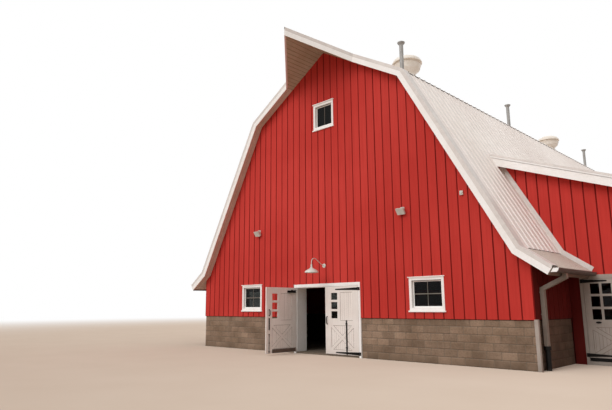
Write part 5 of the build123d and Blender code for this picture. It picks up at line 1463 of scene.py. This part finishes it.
@dataclass
class Windows:
    """Sashes in the window openings: a meeting rail, an upright bar and black lines of painted shadow round
    them.
    """

    finishes: Finishes
    setback: float = 0.05
    sash: float = 0.04
    casing: float = 0.08
    tuck: float = 0.002  # how far a bar runs into the sash
    rail: float = 0.024
    bar: float = 0.014
    sill_shadow: float = 0.016

    def bars_of(self, window: Opening) -> Array:
        """Boxes of one window's bars, in its wall's coordinates: a meeting rail and an upright.

        The narrow window under the hood slides sideways, so it has the upright alone.

        Args:
            window: The window.

        Returns:
            Limits of the boxes, of shape (n, 6).
        """
        u0, u1, v0, v1 = window.hole(self.casing + self.sash - self.tuck)
        back = -self.setback - 0.02
        rail = (u0, u1, window.v - self.rail / 2, window.v + self.rail / 2, back, -self.setback)
        upright = (window.u - self.bar / 2, window.u + self.bar / 2, v0, v1, back, -self.setback - 0.004)
        return np.array([upright] if window.width < 1 else [rail, upright])

    def shadow_lines_of(self, window: Opening) -> Array:
        """Boxes of the black lines of painted shadow: under the sill, and over the sash and down its left side.

        Args:
            window: The window.

        Returns:
            Limits of the boxes, of shape (3, 6).
        """
        left, right, sill, _ = window.hole(0.0)
        u0, u1, v0, v1 = window.hole(self.casing)
        depth = (-self.setback - 0.01, -self.setback + 0.003)
        return np.array([(left, right, sill - self.sill_shadow, sill + 0.004, 0.0, 0.017),
                         (u0, u1, v1 - 0.012, v1, *depth), (u0, u0 + 0.006, v0, v1, *depth)])

    def build(self) -> None:
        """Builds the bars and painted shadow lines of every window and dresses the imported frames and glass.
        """
        every = [(wall.place, window) for wall, row in WINDOWS.items() for window in row]
        rods = joined([bars(self.bars_of(window), 0.003).placed(place) for place, window in every])
        piece("window_bars", rods, self.finishes.bar_paint, closed=True)
        # black strips of painted shadow under each sill and round each sash
        shadow_lines = joined([bars(self.shadow_lines_of(window), 0.001).placed(place) for place, window in every])
        piece("window_shadow_lines", shadow_lines, self.finishes.painted_shadow, closed=True)
        dress(self.finishes.trim, "window_frames")
        dress(self.finishes.glass, "window_glass", "right_leaf_glass", "wing_leaf_glass")
        dress(self.finishes.clear, "left_leaf_glass")


@dataclass
class LeafFace:
    """One face of a door leaf: local coordinates with u from the hinge line, v up and w out of the face."""

    body: str
    origin: Triple
    across: Triple
    hand: int  # 1 where local u runs away from the hinge line
    pocket: float = 0.012

    @property
    def place(self) -> Array:
        """Matrix from the face to the barn."""
        return plane(self.origin, self.across, UP)

    def rect(self, u0: float, u1: float, v0: float, v1: float) -> Rect:
        """The same rectangle with its sides in local order."""
        return (u0, u1, v0, v1) if self.hand > 0 else (-u1, -u0, v0, v1)

    def panel(self, limits: Rect, seed: int, pitch: float = 0.088, clear: float = 0.001) -> Surface:
        """Upright beaded boards on the floor of a sunk panel.

        Args:
            limits: The panel.
            seed: Seed of the shades.
            pitch: Face width of a board.
            clear: Gap left round them.

        Returns:
            The boards.
        """
        u0, u1, v0, v1 = self.rect(*limits)
        low = np.array([(u0, v0 + clear), (u1, v0 + clear)])
        place = self.place
        place[:3, 3] -= self.pocket * place[:3, 2]
        return boards((u0 + clear, u1 - clear), low, low + (0, v1 - v0 - 2 * clear), pitch=pitch,
                      start=(u0 + u1) / 2, relief=(0.0003, 0.0018, 0.0015), seed=seed).placed(place)

    def painted_shade_lines(self, limits: Rect, brace: float = 0.0, wide: float = 0.009) -> Surface:
        """Dark lines of painted shade: round a sunk panel and along both sides of its crossed braces.

        A line beside a brace is a strip from p to q, both on the diagonal moved sideways by half the brace
        and half the strip, and both on the panel's border.

        Args:
            limits: The panel.
            brace: Width of its braces, or 0 where it has none.
            wide: Width of a line.

        Returns:
            The strips, just over the panel's boards.
        """
        u0, u1, v0, v1 = self.rect(*limits)
        sides = ((u0, u0 + wide, v0, v1), (u1 - wide, u1, v0, v1),
                 (u0, u1, v0, v0 + wide), (u0, u1, v1 - wide, v1))
        strips = [[(a, c), (b, c), (b, d), (a, d)] for a, b, c, d in sides]
        if brace:
            low, high = np.array([u0, v0]) + wide, np.array([u1, v1]) - wide
            for start, end in (((u0, v0), (u1, v1)), ((u0, v1), (u1, v0))):
                way = np.subtract(end, start) / math.dist(start, end)
                side = np.array([-way[1], way[0]])
                for offset in (-(brace + wide) / 2, (brace + wide) / 2):
                    spot = np.array(start) + offset * side
                    ends = np.sort(np.stack([(low - spot) / way, (high - spot) / way]), axis=0)
                    p, q = spot + way * ends[0].max(), spot + way * ends[1].min()
                    half = side * wide / 2
                    strips.append([p - half, q - half, q + half, p + half])
        corners = np.array([[(*spot, 0.0025 - self.pocket) for spot in strip] for strip in strips])
        return facets(corners, GROOVE).placed(self.place)

    def boxes(self, rows: Sequence[Box], edge: float = 0.003) -> Surface:
        """Bars given as (u0, u1, v0, v1, w0, w1)."""
        sides = [(*self.rect(*row[:4]), *row[4:]) for row in rows]
        return bars(np.array(sides), edge).placed(self.place)

    def beads(self, middle: Pair, size: Pair, bead: float = 0.004) -> Surface:
        """Glazing beads inside a pane's opening.

        Args:
            middle: Middle of the pane.
            size: Its width and height.
            bead: Width of a bead.

        Returns:
            The four beads.
        """
        a, b = middle[0] - size[0] / 2, middle[0] + size[0] / 2
        c, d = middle[1] - size[1] / 2, middle[1] + size[1] / 2
        sides = ((a, b, c, c + bead), (a, b, d - bead, d), (a, a + bead, c, d), (b - bead, b, c, d))
        return self.boxes([(*side, -0.018, -0.006) for side in sides], 0.0015)

    def bolts(self, spots: Sequence[Pair], over: float, radius: float = 0.009) -> Surface:
        """Bolt heads at (u, v) on a plate this far over the face."""
        centres = moved(np.array([(u * self.hand, v, over) for u, v in spots]), self.place)
        return heads(centres, tuple(self.place[:3, 2]), radius, 0.005)


@dataclass
class Doors:
    """The three leaves and their frames: beaded panels, glazing beads, bolts and fittings."""

    finishes: Finishes
    front_hinge_y: float = FRONT - 0.048
    open_faces: Pair = (-1.395, -1.350)  # x of the outer and inner face of the leaf that stands open
    right_hinge_x: float = 1.333
    wing_hinge_x: float = 7.075
    closed_faces: Pair = (-0.030, 0.015)  # outer and inner face of a closed leaf, counted from its wall
    pane: Pair = (0.264, 0.227)
    wing_pane: Pair = (0.231, 0.277)
    panes: tuple[Pair, ...] = ((0.987, 1.856), (0.987, 1.566), (0.987, 1.276))
    wing_panes_from: Pair = (0.705, 1.956)
    wing_panes_apart: Pair = (0.285, 0.332)
    panel: Rect = (0.234, 0.736, 1.1, 1.98)
    braced: Rect = (0.2, 1.129, 0.2, 0.95)
    wing_braced: Rect = (0.13, 1.28, 0.235, 0.96)
    brace: float = 0.095
    strap_bolts: tuple[float, ...] = (0.06, 0.2, 0.36, 0.52)
    straps: Pair = (0.118, 2.075)
    wing_straps: Pair = (0.25, 2.158)
    strap_face: float = 0.005
    closer: tuple[Box, ...] = ((0.02, 0.30, 2.083, 2.095, 0.03, 0.055), (0.24, 0.28, 2.075, 2.1, 0.022, 0.06))
    kick_plate: Box = (0.058, 1.111, 0.073, 0.192, 0.0005, 0.0095)
    kick_levels: Pair = (0.095, 0.17)
    pulls: tuple[Triple, ...] = ((1.249, 1.35, 0.065), (1.309, 1.1, 0.09), (1.294, 1.1, 0.09))
    sleeve: Triple = (0.015, 0.034, 0.058)  # half its width, then how far its back and its front stand out

    def faces(self) -> list[tuple[LeafFace, bool]]:
        """The faces of the leaves.

        Returns:
            Each face of each leaf, and whether it is the outer one.
        """
        hinge_y, (outer, inner) = self.front_hinge_y, self.closed_faces
        return [
            (LeafFace("left_door", (self.open_faces[0], hinge_y, 0.0), TO_FRONT, 1), True),
            (LeafFace("left_door", (self.open_faces[1], hinge_y, 0.0), TO_BACK, -1), False),
            (LeafFace("right_door", (self.right_hinge_x, FRONT + outer, 0.0), TO_RIGHT, -1), True),
            (LeafFace("right_door", (self.right_hinge_x, FRONT + inner, 0.0), TO_LEFT, 1), False),
            (LeafFace("wing_door", (self.wing_hinge_x, WING_FRONT + outer, 0.0), TO_RIGHT, 1), True),
            (LeafFace("wing_door", (self.wing_hinge_x, WING_FRONT + inner, 0.0), TO_LEFT, -1), False),
        ]

    def wing_panes(self) -> list[Pair]:
        """Middles of the wing leaf's panes, four across in three rows."""
        (u, v), (across, down) = self.wing_panes_from, self.wing_panes_apart
        return [(u + across * (i - 1.5), v - down * row) for row in range(3) for i in range(4)]

    def build_face(self, face: LeafFace, outer: bool, seed: int) -> None:
        """Builds what lies on one face of a leaf: panels, glazing beads and, outside, the straps' bolts.

        Args:
            face: The face.
            outer: Whether it is the outer one.
            seed: Seed of the shades.
        """
        kit, wing = self.finishes, face.body == "wing_door"
        name = f"{face.body}_{'outer' if outer else 'inner'}"
        paint = kit.wing_door if wing else kit.door
        rects = [self.wing_braced] if wing else [self.panel, self.braced]
        # dark lines of painted shade round the panels and beside the braces
        painted_shade_lines = [face.painted_shade_lines(rect, 0.0 if rect is self.panel else self.brace) for rect in rects]
        panels = joined([face.panel(rect, seed) for rect in rects] + painted_shade_lines)
        piece(f"{name}_panels", panels, paint, face.body)
        size = self.wing_pane if wing else self.pane
        beads = joined([face.beads(spot, size) for spot in (self.wing_panes() if wing else self.panes)])
        piece(f"{name}_beads", beads, paint, face.body, closed=True)
        if outer:
            spots = [(u, v) for u in self.strap_bolts for v in (self.wing_straps if wing else self.straps)]
            bolts = face.bolts(spots, self.strap_face)
            piece(f"{name}_bolts", bolts, kit.iron, face.body, closed=True)

    def build(self) -> None:
        """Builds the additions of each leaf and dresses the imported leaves, frames and ironwork."""
        kit = self.finishes
        faces = self.faces()
        for number, (face, outer) in enumerate(faces):
            self.build_face(face, outer, 60 + number)
        (outside, _), (inside, _), (closed, _) = faces[:3]
        plate = self.kick_plate
        screws = [(0.09 + 0.2 * i, level) for i in range(6) for level in self.kick_levels]
        fittings = [
            ("closer_arm", inside.boxes(self.closer), kit.iron, "left_door"),
            ("kick_plate_skin", inside.boxes([plate], 0.001), kit.bronze, "left_door"),
            ("kick_plate_screws", inside.bolts(screws, plate[5] - 0.0001, 0.006), kit.iron, "left_door"),
        ]
        wide, back, front = self.sleeve
        for number, (face, (u, v, half)) in enumerate(zip((inside, outside, closed), self.pulls), start=1):
            sleeve = face.boxes([(u - wide, u + wide, v - half, v + half, back, front)], 0.006)
            fittings.append((f"pull_sleeve_{number}", sleeve, kit.iron, face.body))
        for name, surface, finish, body in fittings:
            piece(name, surface, finish, body, closed=True)
        dress(kit.door, "left_leaf", "right_leaf")
        # the wing's leaf and frame take the door paint with painted shade
        dress(kit.wing_door, "wing_leaf", "wing_door_frame")
        dress(kit.trim, "front_door_frame")
        dress(kit.iron, "left_leaf_hardware", "right_leaf_hardware", "wing_leaf_hardware", "hinge_pintles")


def eased(line: Sequence[Pair], cut: float, steps: int = 5) -> Array:
    """A profile with its corners bent.

    A corner p between a and b, each at most cut away from it and at most 0.45 of the way to the next corner,
    becomes (1 - t)^2 a + 2 t (1 - t) p + t^2 b.

    Args:
        line: Corners of the profile.
        cut: How far from a corner its bend starts.
        steps: Points in one bend.

    Returns:
        Points of the profile, of shape (n, 2).
    """
    spots = np.asarray(line, float)
    before, after = spots[:-2] - spots[1:-1], spots[2:] - spots[1:-1]
    a, b = [spots[1:-1] + way * np.minimum(cut / np.linalg.norm(way, axis=1, keepdims=True), 0.45)
            for way in (before, after)]
    t = np.linspace(0, 1, steps)[:, None, None]
    bent = (1 - t) ** 2 * a + 2 * t * (1 - t) * spots[1:-1] + t ** 2 * b
    return np.concatenate([spots[:1], bent.transpose(1, 0, 2).reshape(-1, 2), spots[-1:]])


@dataclass
class RoofFittings:
    """Ventilators and vent pipes as spun and rolled metal: round bodies, beads and storm collars."""

    finishes: Finishes
    ventilator_ys: tuple[float, ...] = (FRONT + 5.3, FRONT + 21.0)
    radius: float = 0.635
    throat: float = 0.54
    neck: float = 0.345
    crown: float = 0.33
    top: float = ROOF.outer[0, 1] + 1.42
    rim: float = 0.29  # foot of the hood under the top
    bowl: float = 0.4  # top of the bowl under the top
    bowl_height: float = 0.35
    bead: float = 0.008
    pipe_x: float = 1.5
    pipe_ys: tuple[float, ...] = (FRONT + 2.65, FRONT + 11.7, FRONT + 22.7)
    pipe_radius: float = 0.075
    pipe_wall: float = 0.006
    pipe_top: float = ROOF.outer[0, 1] + 0.62
    pipe_rim: float = 0.14
    rim_height: float = 0.03
    funnel: float = 0.08
    bore: float = 0.3  # depth of the open bore under the pipe's top
    skirt: float = 0.13

    def ventilator(self, y: float) -> Surface:
        """A ventilator: neck, bowl, throat and hood as one closed turned profile.

        Args:
            y: Its place along the ridge.

        Returns:
            The closed body.
        """
        rim, bowl, wide = self.top - self.rim, self.top - self.bowl, (self.radius + self.throat) / 2
        foot = ROOF.height(self.neck, ROOF.depth) - 0.08
        body = eased([(0.0, foot), (self.neck, foot), (self.neck, bowl - self.bowl_height),
                      (0.9 * wide, bowl - 0.55 * self.bowl_height), (wide, bowl)], 0.04)
        hood = eased([(self.radius, rim), (self.radius, rim + 0.029), (0.9 * self.radius, self.top - 0.1305),
                      (self.crown, self.top), (0.0, self.top)], 0.06)
        return turned([*body, (self.throat, bowl), (self.throat, rim), *hood], (0.0, y, 0.0), 72)

    def pipe(self, y: float) -> Surface:
        """A vent pipe: skirt, pipe and flared rim outside, and the bore down inside.

        Args:
            y: Its place along the roof.

        Returns:
            The closed body.
        """
        near = ROOF.height(self.pipe_x - self.skirt, ROOF.depth)
        foot = ROOF.height(self.pipe_x + self.skirt, ROOF.depth) - 0.05
        top, lip = self.pipe_top, self.pipe_top - self.rim_height
        outside = eased([(0.0, foot), (self.skirt, foot), (self.skirt, near), (self.pipe_radius, near + 0.1),
                         (self.pipe_radius, lip - self.funnel), (self.pipe_rim, lip), (self.pipe_rim, top)],
                        0.012)
        rim, hole = self.pipe_rim - self.pipe_wall, self.pipe_radius - self.pipe_wall
        inside = eased([(rim, top), (rim, lip), (hole, lip - self.funnel), (hole, top - self.bore),
                        (0.0, top - self.bore)], 0.012)
        return turned([*outside, *inside], (self.pipe_x, y, 0.0), 40)

    def hoop(self, y: float, radius: float, level: float) -> Surface:
        """A rolled bead round a ventilator: a circle of the bead's radius, carried round."""
        t = np.linspace(0, 2 * np.pi, 9)
        return turned(list(zip(radius + self.bead * np.cos(t), level + self.bead * np.sin(t))), (0.0, y, 0.0))

    def collar(self, y: float) -> Surface:
        """A storm collar round a pipe where it leaves the roof, as a short cone."""
        z = ROOF.height(self.pipe_x, ROOF.depth)
        line = [(0.055, 0.16), (0.052, 0.168), (0.004, 0.235), (0.001, 0.235)]
        return turned([(self.pipe_radius + out, z + up) for out, up in line], (self.pipe_x, y, 0.0))

    def build(self) -> None:
        """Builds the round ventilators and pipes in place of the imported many-sided ones, with their bands."""
        kit = self.finishes
        spun = piece("spun_ventilators", joined([self.ventilator(y) for y in self.ventilator_ys]), kit.spun,
                     closed=True, smooth=True)
        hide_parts("ventilators")
        inset = 0.009
        rings = ((self.radius - inset, self.top - self.rim + inset),
                 ((self.radius + self.throat) / 2 - inset, self.top - self.bowl - inset))
        beads = joined([self.hoop(y, radius, level) for y in self.ventilator_ys for radius, level in rings])
        piece("ventilator_beads", beads, kit.spun, closed=True, smooth=True)
        rolled = piece("rolled_vent_pipes", joined([self.pipe(y) for y in self.pipe_ys]), kit.galvanised,
                       closed=True, smooth=True)
        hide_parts("vent_pipes")
        collars = joined([self.collar(y) for y in self.pipe_ys])
        piece("storm_collars", collars, kit.galvanised, smooth=True)


@dataclass
class Rainwater:
    """The gutter's straps and end cap, the drain pipe's rings and the finish of the corner post."""

    finishes: Finishes
    strap_pitch: float = 0.6
    strap_half: float = 0.011
    strap_xs: Pair = (7.325, 7.44)
    strap_levels: Pair = (2.368, 2.372)
    first: float = -13.6
    last: float = -11.05
    pipe_x: float = 6.7806
    pipe_y: float = -13.0112
    pipe_foot: float = 0.004
    pipe_radius: float = 0.0605
    pipe_top: float = 0.47
    ring: float = 0.0055
    ring_pitch: float = 0.03
    section: tuple[Pair, ...] = ((7.331, 2.383), (7.2655, 2.288), (7.403, 2.288), (7.4385, 2.3265),
                                 (7.456, 2.383))
    cap_wall: float = 0.004

    def straps(self) -> Surface:
        """Flat straps across the mouth of the gutter."""
        ys = np.arange(self.first, self.last, self.strap_pitch)
        rows = [(*self.strap_xs, y - self.strap_half, y + self.strap_half, *self.strap_levels) for y in ys]
        return bars(np.array(rows), 0.001)

    def cap(self) -> Surface:
        """The gutter's end cap: its section carried forward and closed by rings that shrink to the middle.

        Returns:
            The closed cap.
        """
        outline = np.array(self.section)
        middle = np.broadcast_to(outline.mean(axis=0), outline.shape)
        rings = np.stack([middle, outline, outline, middle])
        y = ROOF_START - np.array([0.0, 0.0, self.cap_wall, self.cap_wall])[:, None]
        points = np.stack(np.broadcast_arrays(rings[..., 0], y, rings[..., 1]), axis=-1)
        return grid(points, around=True)

    def rings(self) -> Surface:
        """Corrugated pipe: radius r + ring (1 + cos(2 pi z / pitch)) / 2 at height z."""
        z = np.arange(self.pipe_foot, self.pipe_top, self.ring_pitch / 6)
        swell = self.pipe_radius + self.ring * (1 + np.cos(2 * np.pi * z / self.ring_pitch)) / 2
        return turned(list(zip(swell, z)), (self.pipe_x, self.pipe_y, 0.0), 28)

    def build(self) -> None:
        """Builds the straps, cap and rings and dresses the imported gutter, downspout, pipe and post."""
        kit = self.finishes
        piece("gutter_straps", self.straps(), kit.gutter, closed=True)
        piece("gutter_cap", self.cap(), kit.trim, closed=True)
        piece("drain_rings", self.rings(), kit.drain, smooth=True)
        dress(kit.gutter, "gutter")
        dress(kit.downspout, "downspout")
        dress(kit.drain, "drain_pipe")
        # the corner post takes the door paint with painted shade
        dress(kit.wing_door, "corner_post")


@dataclass
class Lamps:
    """The barn lamp with its bulb, the floodlights and the small box beside them."""

    finishes: Finishes
    shade: Triple = (-0.091, FRONT - 0.61, 2.612)
    radius: float = 0.232
    wall: float = 0.006
    crown: float = 0.138
    neck: float = 0.034
    neck_top: float = 0.278
    plate: Triple = (-0.091, FRONT, 2.862)
    plate_line: tuple[Pair, ...] = ((0.0, 0.002), (0.076, 0.002), (0.075, 0.008), (0.066, 0.022),
                                    (0.02, 0.022), (0.016, 0.03), (0.0, 0.03))
    arm_radius: float = 0.013
    arm: tuple[Pair, ...] = ((0.011, 2.862), (0.122, 2.892), (0.2745, 2.982), (0.427, 3.075), (0.5124, 3.085),
                             (0.5856, 3.035), (0.61, 2.965), (0.61, 2.87))
    bulb_radius: float = 0.045
    bulb_level: float = 0.075
    holder: tuple[Pair, ...] = ((0.02, 0.125), (0.02, 0.16), (0.0, 0.16))
    case: tuple[Box, ...] = ((4.957, 5.057, FRONT - 0.06, FRONT - 0.012, 4.48, 4.6),
                             (4.977, 5.037, FRONT - 0.075, FRONT - 0.055, 4.505, 4.57))

    def lamp(self) -> Surface:
        """The spun shade, its bent arm and the plate on the wall.

        The shade is a closed turned profile, up the hollow and down outside. The arm is a round rod whose
        path is its line of corners, bent at each. The plate is turned about its own axis, out of the wall.

        Returns:
            The three closed bodies.
        """
        wide, crown, wall = self.radius, self.crown, self.wall
        hollow = eased([(0.0, crown), (self.neck, crown), (0.45 * wide, 0.85 * crown - wall),
                        (0.88 * wide - wall, 0.42 * crown - wall / 2), (wide - wall, 0.0)], 0.03)
        cover = eased([(wide, 0.0), (0.88 * wide, 0.42 * crown), (0.45 * wide, 0.85 * crown),
                       (self.neck, crown + 3 * wall), (self.neck - 0.01, self.neck_top),
                       (0.0, self.neck_top)], 0.03)
        bend = eased(self.arm, 0.05, 6)
        path = np.stack([np.full(len(bend), self.plate[0]), FRONT - bend[:, 0], bend[:, 1]], axis=1)
        plate = turned(self.plate_line, (0.0, 0.0, 0.0), 40).placed(plane(self.plate, TO_RIGHT, UP))
        return joined([turned([*hollow, *cover], self.shade, 56), rod(path, self.arm_radius, 14), plate])

    def bulb(self) -> Surface:
        """A bulb in its holder: a sphere r sin t, r cos t under a neck."""
        t = np.linspace(0.0, 2.4, 12)
        ball = zip(self.bulb_radius * np.sin(t), self.bulb_level - self.bulb_radius * np.cos(t))
        return turned([*ball, *self.holder], self.shade, 24)

    def build(self) -> None:
        """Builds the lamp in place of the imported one, its bulb and the box, and dresses the floodlights."""
        kit = self.finishes
        spun = piece("spun_barn_lamp", self.lamp(), kit.enamel, closed=True, smooth=True)
        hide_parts("barn_lamp")
        piece("lamp_bulb", self.bulb(), kit.opal, closed=True, smooth=True)
        piece("gable_box", bars(np.array(self.case), 0.006), kit.enamel, closed=True)
        dress(kit.enamel, "floodlights")


def main() -> None:
    """Builds the barn in order, from the walls to the fittings."""
    logging.basicConfig(level=logging.INFO, format="%(name)s %(message)s")
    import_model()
    Studio().build()
    finishes = Finishes()
    for assembly in (Siding, BlockBase, MetalRoof, Windows, Doors, RoofFittings, Rainwater, Lamps):
        assembly(finishes).build()
        log.info("%s built", assembly.__name__)


if __name__ == "__main__":
    main()
